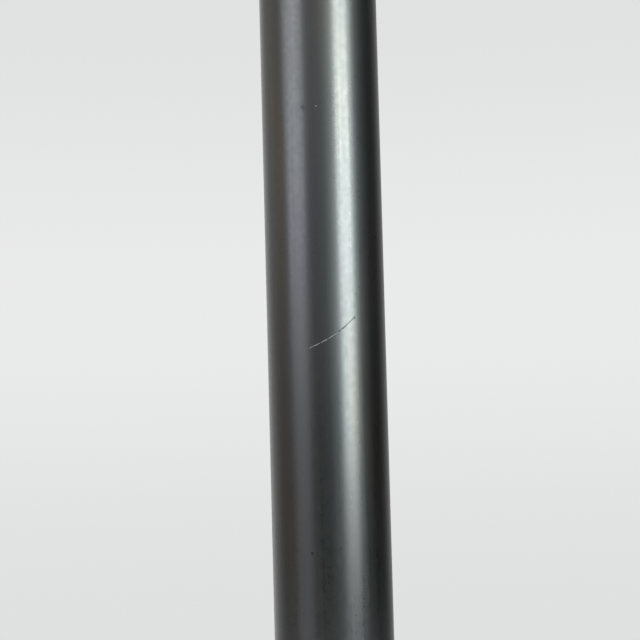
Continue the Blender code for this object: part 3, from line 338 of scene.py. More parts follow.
def floor_paint(name, full_radius, end_radius):
    """A pale studio floor that fades out with its distance from the object."""
    paint = Paint(name, 0.62, Specular_IOR_Level=0.2)
    flat = paint.vector("MULTIPLY", paint.place, (1.0, 1.0, 0.0))
    distance = paint.vector("LENGTH", flat, output="Value")
    paint.put(paint.shader.inputs["Alpha"], paint.range(distance, full_radius, end_radius, 1.0, 0.0))
    return paint.finished(paint.mix(paint.noise(1.6, 3.0, 0.5), (0.76, 0.76, 0.765), (0.8, 0.8, 0.8)))


TUBE_RADIUS = 0.01905
TUBE_MARKS = [
    (-4.0, 0.2608, 0.00022, (0.42, 0.42, 0.42)),
    (-17.0, 0.2607, 0.0008, (0.1, 0.096, 0.106)),
    (-18.6, 0.1224, 0.0004, (0.06, 0.06, 0.06)),
    (29.7, 0.2019, 0.00022, (0.06, 0.058, 0.056)),
    (33.6, 0.204, 0.00018, (0.05, 0.05, 0.05)),
    (28.3, 0.1984, 0.00016, (0.06, 0.06, 0.06)),
    (-78.3, 0.2446, 0.00035, (0.05, 0.05, 0.05)),
    (27.9, 0.1946, 0.0003, (0.055, 0.052, 0.05)),
]
INK_COLOUR = (0.62, 0.62, 0.6)
JACKET_COLOUR = (0.02, 0.02, 0.021)

CHARCOAL = moulded_plastic("charcoal_plastic", (0.04, 0.041, 0.044), 0.52, 0.0005, 0.00004, 0.12)
BLACK = moulded_plastic("black_plastic", (0.017, 0.017, 0.018), 0.46, 0.00028, 0.000014, 0.08)
CASTING = powder_coat("painted_casting", (0.036, 0.037, 0.039))
GUNMETAL = satin_gunmetal("gunmetal", TUBE_MARKS)
BARE_STEEL = bare_metal("bare_steel", (0.66, 0.64, 0.61), 0.42, stretch=(0.3, 0.3, 1.0))
SCORED_STEEL = scored_steel("scored_steel")
PLATED = bare_metal("plated_steel", (0.6, 0.6, 0.585), 0.34)
DARK_SCREW = bare_metal("blacked_steel", (0.055, 0.054, 0.053), 0.38, metallic=0.9)
ALUMINIUM = cast_metal("cast_aluminium", (0.62, 0.62, 0.62), 0.42)
IRON = cast_metal("cast_iron", (0.13, 0.128, 0.125), 0.62, 500.0)
RUBBER = rubber("rubber", (0.022, 0.022, 0.022))
ACETAL = smooth_polymer("acetal", (0.03, 0.03, 0.031), 0.36)
NYLON = smooth_polymer("connector", (0.78, 0.75, 0.66), 0.45)
JACKET = plain_finish(
    "cable", 0.5, (260.0, 4.0, 0.6), JACKET_COLOUR, shade(JACKET_COLOUR, 1.8),
    (0.42, 0.62), ((3000.0, 2.0), 0.00001, 0.5), Specular_IOR_Level=0.45,
)
BOARD = solder_mask("circuit_board")
FILTER = smoked_acrylic("filter")
GLASS = plain_finish(
    "display_glass", 0.03, (45.0, 4.0, 0.6), (0.3, 0.36, 0.36), (0.42, 0.48, 0.47),
    (0.02, 0.06), Specular_IOR_Level=0.55, Alpha=0.22,
)
PHOSPHOR = plain_finish(  # unlit: pale, chalky blue-green dots
    "phosphor", 0.9, (5200.0, 3.0, 0.6), (0.5, 0.6, 0.57), (0.68, 0.77, 0.74),
    bump=(None, 0.00001, 0.6), Specular_IOR_Level=0.2,
)
CERAMIC = plain_finish(
    "ceramic_back", 0.7, (700.0, 3.0, 0.6), (0.03, 0.033, 0.034), (0.048, 0.052, 0.053), (0.6, 0.8)
)
EPOXY = plain_finish(
    "component", 0.5, (2400.0, 3.0, 0.6), (0.016, 0.016, 0.018), (0.034, 0.034, 0.036),
    (0.42, 0.6), (None, 0.00001, 0.6),
)
GOLD = bare_metal("gold_contact", (0.83, 0.62, 0.28), 0.22)
INK = plain_finish("pale_ink", 0.6, (1300.0, 4.0, 0.65), shade(INK_COLOUR, 0.8), INK_COLOUR, (0.5, 0.7))
FOIL = bare_metal("foil", (0.78, 0.78, 0.77), 0.36, scale=1200.0, stretch=(1.0, 6.0, 1.0))


# ---- mesh helpers


def smooth(mesh, sharp_deg):
    mesh.shade_smooth()
    mesh.set_sharp_from_angle(angle=radians(sharp_deg))
    return mesh


def mesh_of(shape):
    """The mesh of a bmesh, which is freed. A mesh stays as it is."""
    if isinstance(shape, bpy.types.Mesh):
        return shape
    bmesh.ops.recalc_face_normals(shape, faces=shape.faces)
    mesh = bpy.data.meshes.new("mesh")
    shape.to_mesh(mesh)
    shape.free()
    return mesh


def linked(name, data):
    """A new object in the scene, and the name on its data too."""
    data.name = name
    made = bpy.data.objects.new(name, data)
    bpy.context.scene.collection.objects.link(made)
    return made


def add_piece(name, shape, material, body, slot, *nodes, sharp_deg=50):
    """A finished piece that rides on a body and, if nodes are given, stands for them."""
    mesh = smooth(mesh_of(shape), sharp_deg)
    made = linked(name, mesh)
    if not mesh.materials:
        mesh.materials.append(material)
    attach(made, body)
    if nodes:
        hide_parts(*nodes)
    return made


def add_solid(name, shape, material, body, slot, *nodes, ease=0.0):
    """A machined or moulded piece with its sharp edges rounded, and its flat faces shaded flat."""
    if ease:
        shape = eased(mesh_of(shape), ease)
    made = add_piece(name, shape, material, body, slot, *nodes)
    flats = made.modifiers.new("flats", "WEIGHTED_NORMAL")
    flats.keep_sharp = True


def arc(start_deg, end_deg, radius, steps, centre=(0.0, 0.0)):
    """Points on part of a circle, from its start to its end."""
    points = []
    for i in range(steps + 1):
        angle = radians(start_deg + (end_deg - start_deg) * i / steps)
        points.append((centre[0] + radius * cos(angle), centre[1] + radius * sin(angle)))
    return points


def rounded_rectangle(width, height, radius, steps=12):
    """Points of a rounded rectangle round the origin, anticlockwise."""
    x, y = width / 2 - radius, height / 2 - radius
    points = []
    for corner, centre in enumerate(((x, y), (-x, y), (-x, -y), (x, -y))):
        points += arc(90 * corner, 90 * corner + 90, radius, steps, centre)
    return points


def outline_ring(size, corner, inset, level, axis="Z", middle=(0.0, 0.0)):
    """A rounded rectangle, inset from its full size, at a level along Z or along Y."""
    points = rounded_rectangle(size[0] - 2 * inset, size[1] - 2 * inset, corner - inset)
    if axis == "Z":
        return [(middle[0] + x, middle[1] + y, level) for x, y in points]
    return [(middle[0] + x, level, middle[1] + y) for x, y in points]


def loft(rings, loop=False, capped=False):
    """Faces between rings of points, which all have the same count."""
    bm = bmesh.new()
    made = [[bm.verts.new(point) for point in ring] for ring in rings]
    count = len(made[0])
    pairs = list(zip(made, made[1:]))
    if loop:
        pairs.append((made[-1], made[0]))
    for a, b in pairs:
        for i in range(count):
            j = (i + 1) % count
            bm.faces.new((a[i], a[j], b[j], b[i]))
    if capped:
        bm.faces.new(list(reversed(made[0])))
        bm.faces.new(made[-1])
    return bm


def lathe(profile, segments):
    """(radius, height) points turned about Z: a ring, or a solid if the first and last are on the axis."""
    closed = profile[0][0] > 0
    turns = [2 * pi * i / segments for i in range(segments)]
    points = profile if closed else profile[1:-1]
    rings = [[(r * cos(turn), r * sin(turn), height) for turn in turns] for r, height in points]
    bm = loft(rings, loop=closed)
    # A rim is found by its rounded coordinates. At the fork's height single precision is coarser than they
    # are, so the fork's blank stays open there, and its spigot is open at the lower end inside the pole.
    if not closed:
        for ring, (_, height) in ((rings[0], profile[0]), (rings[-1], profile[-1])):
            wanted = {tuple(round(c, 9) for c in point) for point in ring}
            rim = {v for v in bm.verts if tuple(round(c, 9) for c in v.co) in wanted}
            edges = [e for e in bm.edges if e.is_boundary and rim.intersection(e.verts)]
            tip = bm.verts.new((0, 0, height))
            for edge in edges:
                bm.faces.new((edge.verts[0], edge.verts[1], tip))
    return bm


def softened(profile, radius, steps=3):
    """A lathe's profile with its corners of over 20 degrees rounded, by radius or by what room there is."""
    points = [Vector(point) for point in profile]
    count = len(points)
    result = []
    for i, point in enumerate(points):
        back, ahead = points[i - 1] - point, points[(i + 1) % count] - point
        at_end = point.x == 0 and i in (0, count - 1)
        if at_end or min(back.length, ahead.length) < 1e-7 or pi - back.angle(ahead) < radians(20):
            result.append(tuple(point))
            continue
        turn = pi - back.angle(ahead)
        reach = min(radius * tan(turn / 2), back.length * 0.45, ahead.length * 0.45)
        start, end = point + back.normalized() * reach, point + ahead.normalized() * reach
        for step in range(steps + 1):
            t = step / steps
            result.append(tuple(start * (1 - t) ** 2 + point * 2 * t * (1 - t) + end * t**2))
    return result


def turned(angle_deg, axis):
    return Matrix.Rotation(radians(angle_deg), 4, axis)


def along(direction, origin=(0, 0, 0)):
    """The matrix that turns the Z axis to a direction and moves the origin."""
    return Matrix.Translation(origin) @ Vector(direction).to_track_quat("Z", "Y").to_matrix().to_4x4()


def moved(bm, matrix):
    bmesh.ops.transform(bm, matrix=matrix, verts=bm.verts)
    return bm


def box_bm(size, centre, bevel=0.0):
    bm = bmesh.new()
    bmesh.ops.create_cube(bm, size=1.0, matrix=Matrix.Translation(centre) @ Matrix.Diagonal((*size, 1.0)))
    if bevel:
        bmesh.ops.bevel(bm, geom=bm.edges[:], offset=bevel, segments=2, profile=0.5, affect="EDGES")
    return bm


def rod_bm(radius, start, end, segments=32):
    start, end = Vector(start), Vector(end)
    bm = bmesh.new()
    size = {"radius1": radius, "radius2": radius, "depth": (end - start).length}
    bmesh.ops.create_cone(bm, cap_ends=True, segments=segments, **size)
    return moved(bm, along(end - start, (start + end) / 2))


def slab_bm(outline, thickness, matrix):
    """A flat outline in XY with a thickness along Z, moved by matrix."""
    rings = [[(x, y, z) for x, y in outline] for z in (-thickness / 2, thickness / 2)]
    bm = moved(loft(rings, capped=True), matrix)
    bmesh.ops.recalc_face_normals(bm, faces=bm.faces)
    return bm


def merged(*parts):
    """Several separate bodies in one mesh."""
    bm = bmesh.new()
    for part in parts:
        mesh = mesh_of(part)
        bm.from_mesh(mesh)
        bpy.data.meshes.remove(mesh)
    return bm


def evaluated(target, helpers=()):
    """The target's mesh with its modifiers applied. The target and its helpers are removed."""
    bpy.context.view_layer.update()
    graph = bpy.context.evaluated_depsgraph_get()
    mesh = bpy.data.meshes.new_from_object(target.evaluated_get(graph))
    for used in (target, *helpers):
        bpy.data.objects.remove(used)
    return mesh


def carve(shape, keep=(), join=(), cut=()):
    """The mesh of a shape: what of it is inside keep, joined with each of join, and cut by each of cut."""
    target = linked("carved", mesh_of(shape))
    cutters = []
    for operation, bodies in (("INTERSECT", keep), ("UNION", join), ("DIFFERENCE", cut)):
        for body in bodies:
            cutters.append(linked("cutter", mesh_of(body)))
            modifier = target.modifiers.new("carve", "BOOLEAN")
            modifier.operation = operation
            modifier.solver = "EXACT"
            modifier.object = cutters[-1]
    return evaluated(target, cutters)


def ease_edges(target, width):
    bevel = target.modifiers.new("ease", "BEVEL")
    bevel.width = width
    bevel.segments = 2
    bevel.limit_method = "ANGLE"
    return bevel


def eased(mesh, width):
    """The mesh with its sharp edges rounded."""
    target = linked("eased", mesh)
    bevel = ease_edges(target, width)
    bevel.angle_limit = radians(32.0)
    bevel.use_clamp_overlap = True
    bevel.harden_normals = False
    return evaluated(target)


def tube_mesh(route, radius, spacing, sides=20):
    """A round cable of one closed mesh, on a smooth curve through the route's points."""
    ends = [Vector(point) for point in (route[0], *route, route[-1])]
    points = []
    for i in range(len(route) - 1):
        before, start, end, after = ends[i : i + 4]
        steps = max(1, round((end - start).length / spacing))
        bend = 2 * before - 5 * start + 4 * end - after
        twist = 3 * start - before - 3 * end + after
        for step in range(steps):
            t = step / steps
            points.append(0.5 * (2 * start + (end - before) * t + bend * t**2 + twist * t**3))
    points.append(ends[-1])
    side = Vector((1, 0, 0))
    rings = []
    for i, point in enumerate(points):
        ahead = (points[min(i + 1, len(points) - 1)] - points[max(i - 1, 0)]).normalized()
        side = (side - ahead * side.dot(ahead)).normalized()
        other = ahead.cross(side)
        turns = [2 * pi * k / sides for k in range(sides)]
        rings.append([point + (side * cos(turn) + other * sin(turn)) * radius for turn in turns])
    return smooth(mesh_of(loft(rings, capped=True)), 60)


# ---- sizes shared with the CAD part

GAP = 0.0003
BASE_SIZE, BASE_CORNER, BASE_RIM = (0.23, 0.16), 0.034, 0.008
COVER_BOTTOM, COVER_TOP, COVER_WALL = 0.0035, 0.036, 0.0025
PLATE_BOTTOM, PLATE_TOP = 0.0035, 0.0065
FOOT_RADIUS, FOOT_HEIGHT = 0.009, 0.0032
TUBE_WALL, TUBE_BOTTOM, TUBE_TOP = 0.0015, 0.0106, 0.3406
CABLE_RADIUS, CABLE_SLOT_WIDTH, CABLE_SLOT_TOP = 0.0025, 0.009, 0.0265
POLE_HOLE, COLLAR_RADIUS = 0.0251, 0.034
NECK_BOTTOM, SPIGOT_BOTTOM = 0.3443, 0.3089
SPIGOT_RADIUS, SPIGOT_BORE = 0.013, 0.007
PAN_END_DEG, PIN_HOLE, BUSH_RECESS = 135.0, 0.0018, 0.016
EAR_RADIUS, FORK_SLOT, BOLT_SEAT, BOLT_HOLE = 0.0155, 0.0236, 0.01425, 0.0033
HEAD_SIZE, HEAD_CORNER, HEAD_WALL = (0.226, 0.09), 0.01, 0.0025
HEAD_FRONT, HEAD_SPLIT, HEAD_REAR = -0.027, -0.012, 0.019
FRONT_RIM, REAR_RIM, FRONT_WALL, BACK_WALL = 0.0035, 0.0065, 0.0036, 0.0045
HEAD_BOTTOM = TILT_AXIS.z + 0.0203
HEAD_MIDDLE = HEAD_BOTTOM + HEAD_SIZE[1] / 2
FILTER_SIZE, FILTER_CORNER, FILTER_THICKNESS = (0.206, 0.056), 0.0048, 0.0016
CASE_SCREW_SEAT, BOARD_BACK = 0.0062, -0.0114
HEAD_OUTER = (HEAD_SIZE, HEAD_CORNER)
HEAD_HOLLOW = ((HEAD_SIZE[0] - 2 * HEAD_WALL, HEAD_SIZE[1] - 2 * HEAD_WALL), HEAD_CORNER - HEAD_WALL)
RECESS = ((FILTER_SIZE[0] + 2 * GAP, FILTER_SIZE[1] + 2 * GAP), FILTER_CORNER + GAP)
WINDOW = ((0.178, 0.04), 0.003)
SCREWS = {  # radius of the shank, radius and height of the head, pitch of the thread
    "M3": (0.0015, 0.0029, 0.0019, 0.0005),
    "M4": (0.002, 0.0034, 0.0022, 0.0007),
    "M6": (0.003, 0.0058, 0.0022, 0.001),
}
M3_PILOT = SCREWS["M3"][0] + GAP
M3_HOLE, M4_HOLE = 0.0018, 0.0023


def four_corners(x, y, middle=(0.0, 0.0)):
    return [(middle[0] + sx * x, middle[1] + sy * y) for sx, sy in ((-1, -1), (1, -1), (1, 1), (-1, 1))]


def on_circle(radius, angle_deg):
    return (radius * cos(radians(angle_deg)), radius * sin(radians(angle_deg)))


FOOT_PLACES = four_corners(0.088, 0.053)
COVER_SCREWS = four_corners(0.06, 0.067)
INTERFACE_SCREW, INTERFACE_PEG = (0.04, 0.06), (-0.04, 0.06)
SOCKET_SCREWS = [on_circle(0.0293, angle) for angle in (146, 266, 386)]
BRACKET_SCREWS = four_corners(0.024, 0.007, (0.0, 0.004))
BOARD_SCREWS = four_corners(0.098, 0.028, (0.0, HEAD_MIDDLE))
CASE_SCREWS = four_corners(0.1045, 0.0375, (0.0, HEAD_MIDDLE))


def base_rings(*rows):
    """Rings of the base's outline, from rows of an inset and a level."""
    return [outline_ring(BASE_SIZE, BASE_CORNER, inset, level) for inset, level in rows]


def head_rings(shape, *rows):
    """Upright rings on the head, from a shape's size and corner and rows of an inset and a depth."""
    return [outline_ring(*shape, inset, depth, "Y", (0.0, HEAD_MIDDLE)) for inset, depth in rows]


def rods(radius, places, start, end, segments=32, axis="Z"):
    """Rods from one level to another: upright ones at (x, y) places, or ones along Y at (x, z) places."""
    made = []
    for a, b in places:
        ends = [(a, b, level) if axis == "Z" else (a, level, b) for level in (start, end)]
        made.append(rod_bm(radius, *ends, segments))
    return made


# ---- screws

DOWN, UP, BACK = (0, 0, -1), (0, 0, 1), (0, 1, 0)
FASTENERS = [  # name, size, length, places, level of the heads' undersides, way they face, body, material
    ("cover", "M3", 0.014, COVER_SCREWS, PLATE_BOTTOM - GAP, DOWN, "stand", DARK_SCREW),
    ("interface", "M3", 0.0065, [INTERFACE_SCREW], 0.0119, UP, "stand", PLATED),
    ("socket", "M4", 0.0078, SOCKET_SCREWS, 0.0121, UP, "stand", PLATED),
    ("bracket", "M4", 0.011, BRACKET_SCREWS, HEAD_BOTTOM - 0.0041, DOWN, "head", DARK_SCREW),
    ("case", "M3", 0.024, CASE_SCREWS, CASE_SCREW_SEAT + GAP, BACK, "head", DARK_SCREW),
    ("board", "M3", 0.0085, BOARD_SCREWS, BOARD_BACK + GAP, BACK, "head", PLATED),
]
FIRST_TWIST_DEG, NEXT_TWIST_DEG = 17.0, 52.0


def screw_mesh(size, length):
    """A pan-head screw with a cross recess and thread rings. Its head is up, with its underside at 0."""
    shank, head, height, pitch = SCREWS[size]
    profile = [(0.0, height)]
    for i in range(1, 7):
        t = i / 6
        profile.append((head * 0.93 * t, height * (1 - 0.42 * t**2)))
    profile += [(head * 0.985, height * 0.5), (head, height * 0.4), (head, height * 0.08)]
    profile += [(head * 0.97, 0.0), (shank * 0.93, 0.0), (shank * 0.93, -pitch)]
    for turn in range(int((length - 2.5 * pitch) / pitch)):
        level = -pitch * (turn + 1)
        profile += [(shank, level - pitch * 0.45), (shank * 0.86, level - pitch * 0.95)]
    profile += [(shank * 0.7, -length), (0.0, -length)]
    cross = []
    for angle in (0.0, 90.0):
        cutter = box_bm((2 * head * 0.62, head * 0.2, height * 0.95), (0, 0, height))
        for v in cutter.verts:
            if v.co.z < height:
                v.co.x *= 0.45
                v.co.y *= 0.55
        cross.append(moved(cutter, turned(angle, "Z")))
    return smooth(carve(lathe(profile, 40), cut=cross), 40)


def add_screws(prefix, size, length, places, level, direction, body, material):
    """One screw for each place, each turned a little further than the last."""
    mesh = screw_mesh(size, length)
    mesh.materials.append(material)
    turn = Vector(direction).to_track_quat("Z", "Y")
    for number, (a, b) in enumerate(places, 1):
        made = linked(f"{prefix}_fastener_{number}", mesh)
        twist = turned(FIRST_TWIST_DEG + NEXT_TWIST_DEG * number, "Z")
        made.rotation_mode = "QUATERNION"
        made.rotation_quaternion = turn @ twist.to_quaternion()
        made.location = (a, level, b) if direction == BACK else (a, b, level)
        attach(made, body)
        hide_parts(f"{prefix}_screw_{number}" if len(places) > 1 else f"{prefix}_screw")


# ---- base


def base_cover():
    """The moulded cover: walls, a full round rim, screw bosses, and cutouts for pole, jack and switch."""
    inner_top, inner_rim, flat = COVER_TOP - COVER_WALL, BASE_RIM - COVER_WALL, BASE_RIM + 0.0008
    rim = [(BASE_RIM - x, z) for x, z in arc(0, 90, BASE_RIM, 14, (0.0, COVER_TOP - BASE_RIM))]
    foot = [(0.0012, COVER_BOTTOM), (0.0004, COVER_BOTTOM), (0.0, COVER_BOTTOM + 0.0004)]
    groove = [(0.0, 0.0062), (0.00035, 0.0065), (0.00035, 0.0071), (0.0, 0.0074)]
    rings = base_rings(*foot, *groove, *rim, (flat, COVER_TOP))
    angles = [atan2(y, x) for x, y, _ in rings[-1]]
    hole = [(COLLAR_RADIUS + 0.006, COVER_TOP), (POLE_HOLE + 0.0004, COVER_TOP)]
    hole += [(POLE_HOLE, COVER_TOP - 0.0004), (POLE_HOLE, inner_top), (COLLAR_RADIUS + 0.006, inner_top)]
    rings += [[(radius * cos(a), radius * sin(a), level) for a in angles] for radius, level in hole]
    inner = arc(0, 90, inner_rim, 8, (0.0, inner_top - inner_rim))
    inner = [(COVER_WALL + inner_rim - x, z) for x, z in reversed(inner)]
    inner_foot = [(COVER_WALL, COVER_BOTTOM + 0.0004), (COVER_WALL - 0.0004, COVER_BOTTOM)]
    rings += base_rings((flat, inner_top), *inner, *inner_foot)
    low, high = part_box("data_jack")
    cuts = rods(M3_PILOT, COVER_SCREWS, PLATE_BOTTOM, 0.02)
    jack = (low + high) / 2 + Vector((0, 0.01, 0))
    switch = (ROCKER_AXIS.x, BASE_SIZE[1] / 2, ROCKER_AXIS.z)
    cuts.append(box_bm((0.016 + 2 * GAP, 0.02, 0.0135 + 2 * GAP), jack))
    cuts.append(box_bm((0.013 + 2 * GAP, 0.02, 0.0086 + 2 * GAP), switch))
    bosses = rods(0.004, COVER_SCREWS, PLATE_TOP + GAP, COVER_TOP - COVER_WALL / 2)
    mesh = carve(loft(rings, loop=True), join=bosses, cut=cuts)
    add_solid("cover_shell", mesh, CHARCOAL, "stand", "charcoal_plastic", "base_cover", ease=0.00025)


def base_pan():
    """The steel plate under the cover, with rests for the interface board, and a blank foil label."""
    edge = [(0.0007, PLATE_BOTTOM), (0.0002, PLATE_BOTTOM + 0.0002), (0.0, PLATE_BOTTOM + 0.0006)]
    edge += [(0.0, PLATE_TOP - 0.0003), (0.0003, PLATE_TOP)]
    rings = base_rings(*[(COVER_WALL + GAP + inset, level) for inset, level in edge])
    rests = rods(0.003, [INTERFACE_PEG, INTERFACE_SCREW], PLATE_TOP - 0.0005, 0.0097)
    rests += rods(0.0012, [INTERFACE_PEG], PLATE_TOP - 0.0005, 0.0123, 20)
    holes = rods(M3_HOLE, [*COVER_SCREWS, INTERFACE_SCREW], -0.002, 0.012, 24)
    holes += rods(M4_HOLE, SOCKET_SCREWS, -0.002, 0.012, 24)
    mesh = carve(loft(rings, capped=True), join=rests, cut=holes)
    add_solid("base_pan", mesh, PLATED, "stand", "plated_steel", "base_plate", ease=0.0001)
    outline = rounded_rectangle(0.052, 0.026, 0.0015, 6)
    label = [[(x, y - 0.004, z) for x, y in outline] for z in (0.00338, 0.00349)]
    add_solid("foil_label", loft(label, capped=True), FOIL, "stand", "cast_aluminium")


def rubber_feet():
    """Four feet with two ring-shaped treads each."""
    shares = [(0, FOOT_HEIGHT), (1, FOOT_HEIGHT), (0.86, 0.0), (0.72, 0.0), (0.68, 0.0004), (0.56, 0.0004)]
    shares += [(0.52, 0.0), (0.36, 0.0), (0.32, 0.0004), (0, 0.0004)]
    profile = softened([(FOOT_RADIUS * share, level) for share, level in shares], 0.0004)
    mesh = mesh_of(lathe(profile, 64))
    for number, (x, y) in enumerate(FOOT_PLACES, 1):
        node = f"rubber_foot_{number}"
        made = add_piece(f"foot_pad_{number}", mesh, RUBBER, "stand", "rubber", node, sharp_deg=60)
        made.matrix_world = Matrix.Translation((x, y, 0.0))


def data_jack():
    """The modular jack: a shell with a stepped latch way, and eight sprung gold contacts."""
    low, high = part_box("data_jack")
    middle, front = (low + high) / 2, high.y
    ways = []
    sizes = ((0.0118, 0.0074, 0.0008), (0.0062, 0.004, -0.0044), (0.004, 0.0016, -0.0058))
    for width, height, lift in sizes:
        ways.append(box_bm((width, 0.015, height), (middle.x, front + 0.0005 - 0.0075, middle.z + lift)))
    shell = carve(box_bm(high - low, middle), cut=ways)
    add_solid("jack_shell", shell, BLACK, "stand", "black_plastic", "data_jack", ease=0.00025)
    contacts = []
    radius, pitch, top = 0.00022, 0.00102, middle.z + 0.0008 + 0.0037
    for number in range(8):
        x = middle.x + (number - 3.5) * pitch
        start, bend = (x, front - 0.002, top - 0.0002), (x, front - 0.0032, top - 0.0003)
        tip = (x, front - 0.0105, top - 0.0032)
        contacts += [rod_bm(radius, start, bend, 10), rod_bm(radius, bend, tip, 10)]
        bump = bmesh.new()
        bmesh.ops.create_icosphere(bump, subdivisions=2, radius=radius, matrix=Matrix.Translation(bend))
        contacts.append(bump)
    add_piece("jack_contacts", merged(*contacts), GOLD, "stand", "plated_steel")


def power_switch():
    """The rocker, with a raised line on one end and a ring on the other."""
    half, crest, dip, steps = 0.005, 0.0046, 0.0036, 24

    def face(x):
        return dip + (crest - dip) * abs(x / half) ** 1.5

    across = [half - 2 * half * i / steps for i in range(steps + 1)]
    belly = arc(180, 360, 0.0042, steps)
    outline = [*((x, face(x)) for x in across), (-half, 0.0008), *belly, (half, 0.0008)]
    pressed = Matrix.Translation(ROCKER_AXIS) @ turned(-10.0, "Z")
    key = slab_bm(outline, 0.0068, pressed)
    add_solid("rocker_key", key, BLACK, "rocker", "black_plastic", "power_rocker", ease=0.0003)
    ring = lathe([(0.0013, 0.00008), (0.0013, -0.00008), (0.00092, -0.00008), (0.00092, 0.00008)], 40)
    moved(ring, turned(90, "X"))
    marks = []
    for side, mark in ((-1, ring), (1, box_bm((0.0005, 0.00016, 0.0026), (0, 0, 0), 0.00005))):
        slope = turned(side * degrees(atan2(crest - dip, half)), "Z")
        marks.append(moved(mark, pressed @ Matrix.Translation((side * 0.003, face(0.003), 0)) @ slope))
    add_piece("rocker_marks", merged(*marks), INK, "rocker", "black_plastic", sharp_deg=40)


# ---- pole

SCRATCH = [  # angle from the front towards +X in degrees, height
    (-17.0, 0.1854),
    (-13.6, 0.1858),
    (-5.4, 0.187),
    (0.0, 0.1878),
    (8.1, 0.1894),
    (18.5, 0.192),
    (26.8, 0.1945),
    (28.8, 0.1948),
]
SCRATCH_HALF_WIDTH, SCRATCH_DEPTH, SCRATCH_LIP = 0.0001, 0.00006, 0.000008
TUBE_CHAMFER = 0.0003


def smooth_noise(random, count, every):
    """Values from 0 to 1 that drift slowly along a row of count places."""
    knots = random.random(count // every + 3)
    places = np.arange(count) / every
    start = places.astype(int)
    share = places - start
    share = share * share * (3 - 2 * share)
    return knots[start] * (1 - share) + knots[start + 1] * share


def tube_angles():
    """Angles round the tube in degrees, closer together where the scratch is."""
    angles = set(round(i * 360 / 288 - 180, 4) for i in range(288))
    angles |= set(round(-18 + 0.3 * i, 4) for i in range(181))
    angles = np.array(sorted(angles))
    return angles[np.concatenate([np.diff(angles) > 0.12, [True]])]


def tube_levels(middle):
    """Heights along the tube, close together where the scratch is."""
    near = np.arange(-0.00027, 0.00028, 0.00003)
    near = np.concatenate([near, [0.0004, 0.0006, 0.0009, 0.0014, 0.0022, 0.0034, 0.005]])
    near = np.unique(np.concatenate([near, -near[near > 0.0003]]))
    low = np.linspace(TUBE_BOTTOM + TUBE_CHAMFER, middle - 0.009, 48)
    high = np.linspace(middle + 0.009, TUBE_TOP - TUBE_CHAMFER, 42)
    return np.concatenate([low, middle + near, high])


def scratch_strength(angles, first, last):
    """The scratch's strength, which fades at its ends and weakens in places, and how far it wanders."""
    random = np.random.RandomState(SEED)
    broad, fine = smooth_noise(random, len(angles), 9), smooth_noise(random, len(angles), 2)
    wander = (smooth_noise(random, len(angles), 5) - 0.5) * 0.0001
    fade = np.clip(np.minimum(angles - first, last - angles) / 3.0, 0.0, 1.0)
    strength = fade * np.clip(0.45 + 0.9 * broad + 0.5 * (fine - 0.5), 0.0, 1.25)
    strength = np.where((angles > first) & (angles < last), strength, 0.0)
    return np.where((fine < 0.16) & (broad < 0.6), strength * 0.45, strength), wander


def pole():
    """The steel tube, its grid following a long scratch: a shallow, broken groove with raised lips."""
    angles = tube_angles()
    known_angles, known_heights = np.transpose(SCRATCH)
    first, last = known_angles[0], known_angles[-1]
    path = np.interp(angles, known_angles, known_heights)
    middle = path.mean()
    strength, wander = scratch_strength(angles, first, last)

    def ring(radius, heights):
        turn = np.radians(angles)
        columns = (radius * np.sin(turn), -radius * np.cos(turn), heights + np.zeros(len(angles)))
        return np.stack(columns, axis=1).tolist()

    rings = [ring(TUBE_RADIUS - TUBE_CHAMFER, TUBE_BOTTOM)]
    for level in tube_levels(middle):
        offset = level - middle
        share = np.clip((abs(offset) - 0.0006) / 0.0164, 0.0, 1.0)
        follow = 1 - share * share * (3 - 2 * share)
        width = SCRATCH_HALF_WIDTH * (0.6 + 0.7 * strength)
        groove = np.clip(1 - np.abs(offset - wander) / width, 0.0, 1.0)
        lip = np.exp(-(((np.abs(offset - wander) - width * 1.25) / (width * 0.35)) ** 2))
        depth = strength * (SCRATCH_DEPTH * groove - SCRATCH_LIP * lip)
        rings.append(ring(TUBE_RADIUS - np.maximum(depth, -0.00001), level + (path - middle) * follow))
    bore = TUBE_RADIUS - TUBE_WALL
    inside = [(TUBE_RADIUS - TUBE_CHAMFER, TUBE_TOP), (bore + 0.0002, TUBE_TOP), (bore, TUBE_TOP - 0.0002)]
    rings += [ring(radius, level) for radius, level in [*inside, (bore, middle), (bore, TUBE_BOTTOM)]]
    slot = box_bm((CABLE_SLOT_WIDTH, TUBE_RADIUS, 0.02), (0, TUBE_RADIUS, CABLE_SLOT_TOP - 0.01))
    mesh = carve(loft(rings, loop=True), cut=[slot])
    mesh.materials.append(GUNMETAL)
    mesh.materials.append(SCORED_STEEL)
    for face in mesh.polygons:
        x, y, z = face.center
        angle = degrees(atan2(x, -y))
        near_path = abs(z - np.interp(angle, known_angles, known_heights)) < 0.0006
        if near_path and first < angle < last and 0.000006 < TUBE_RADIUS - hypot(x, y) < 0.0003:
            face.material_index = 1
    add_piece("pole_shaft", mesh, GUNMETAL, "stand", "gunmetal", "pole_tube", sharp_deg=45)


def pole_collar():
    """The moulded collar that hides the gap round the pole, with a hollow flare and a crisp foot."""
    low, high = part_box("pole_collar")
    lip, sweep = 0.0209, 0.01
    profile = [(TUBE_RADIUS + GAP, high.z), (lip, high.z)]
    profile += arc(180, 260, sweep, 24, (lip + sweep + 2 * GAP, low.z + 0.012))
    profile += [(COLLAR_RADIUS, low.z + 0.001), (COLLAR_RADIUS, low.z), (POLE_HOLE, low.z)]
    profile += [(POLE_HOLE, 0.0423), (TUBE_RADIUS + GAP, 0.0432)]
    flare = lathe(softened(profile, 0.0005), 160)
    add_piece("pole_flare", flare, BLACK, "stand", "black_plastic", "pole_collar")


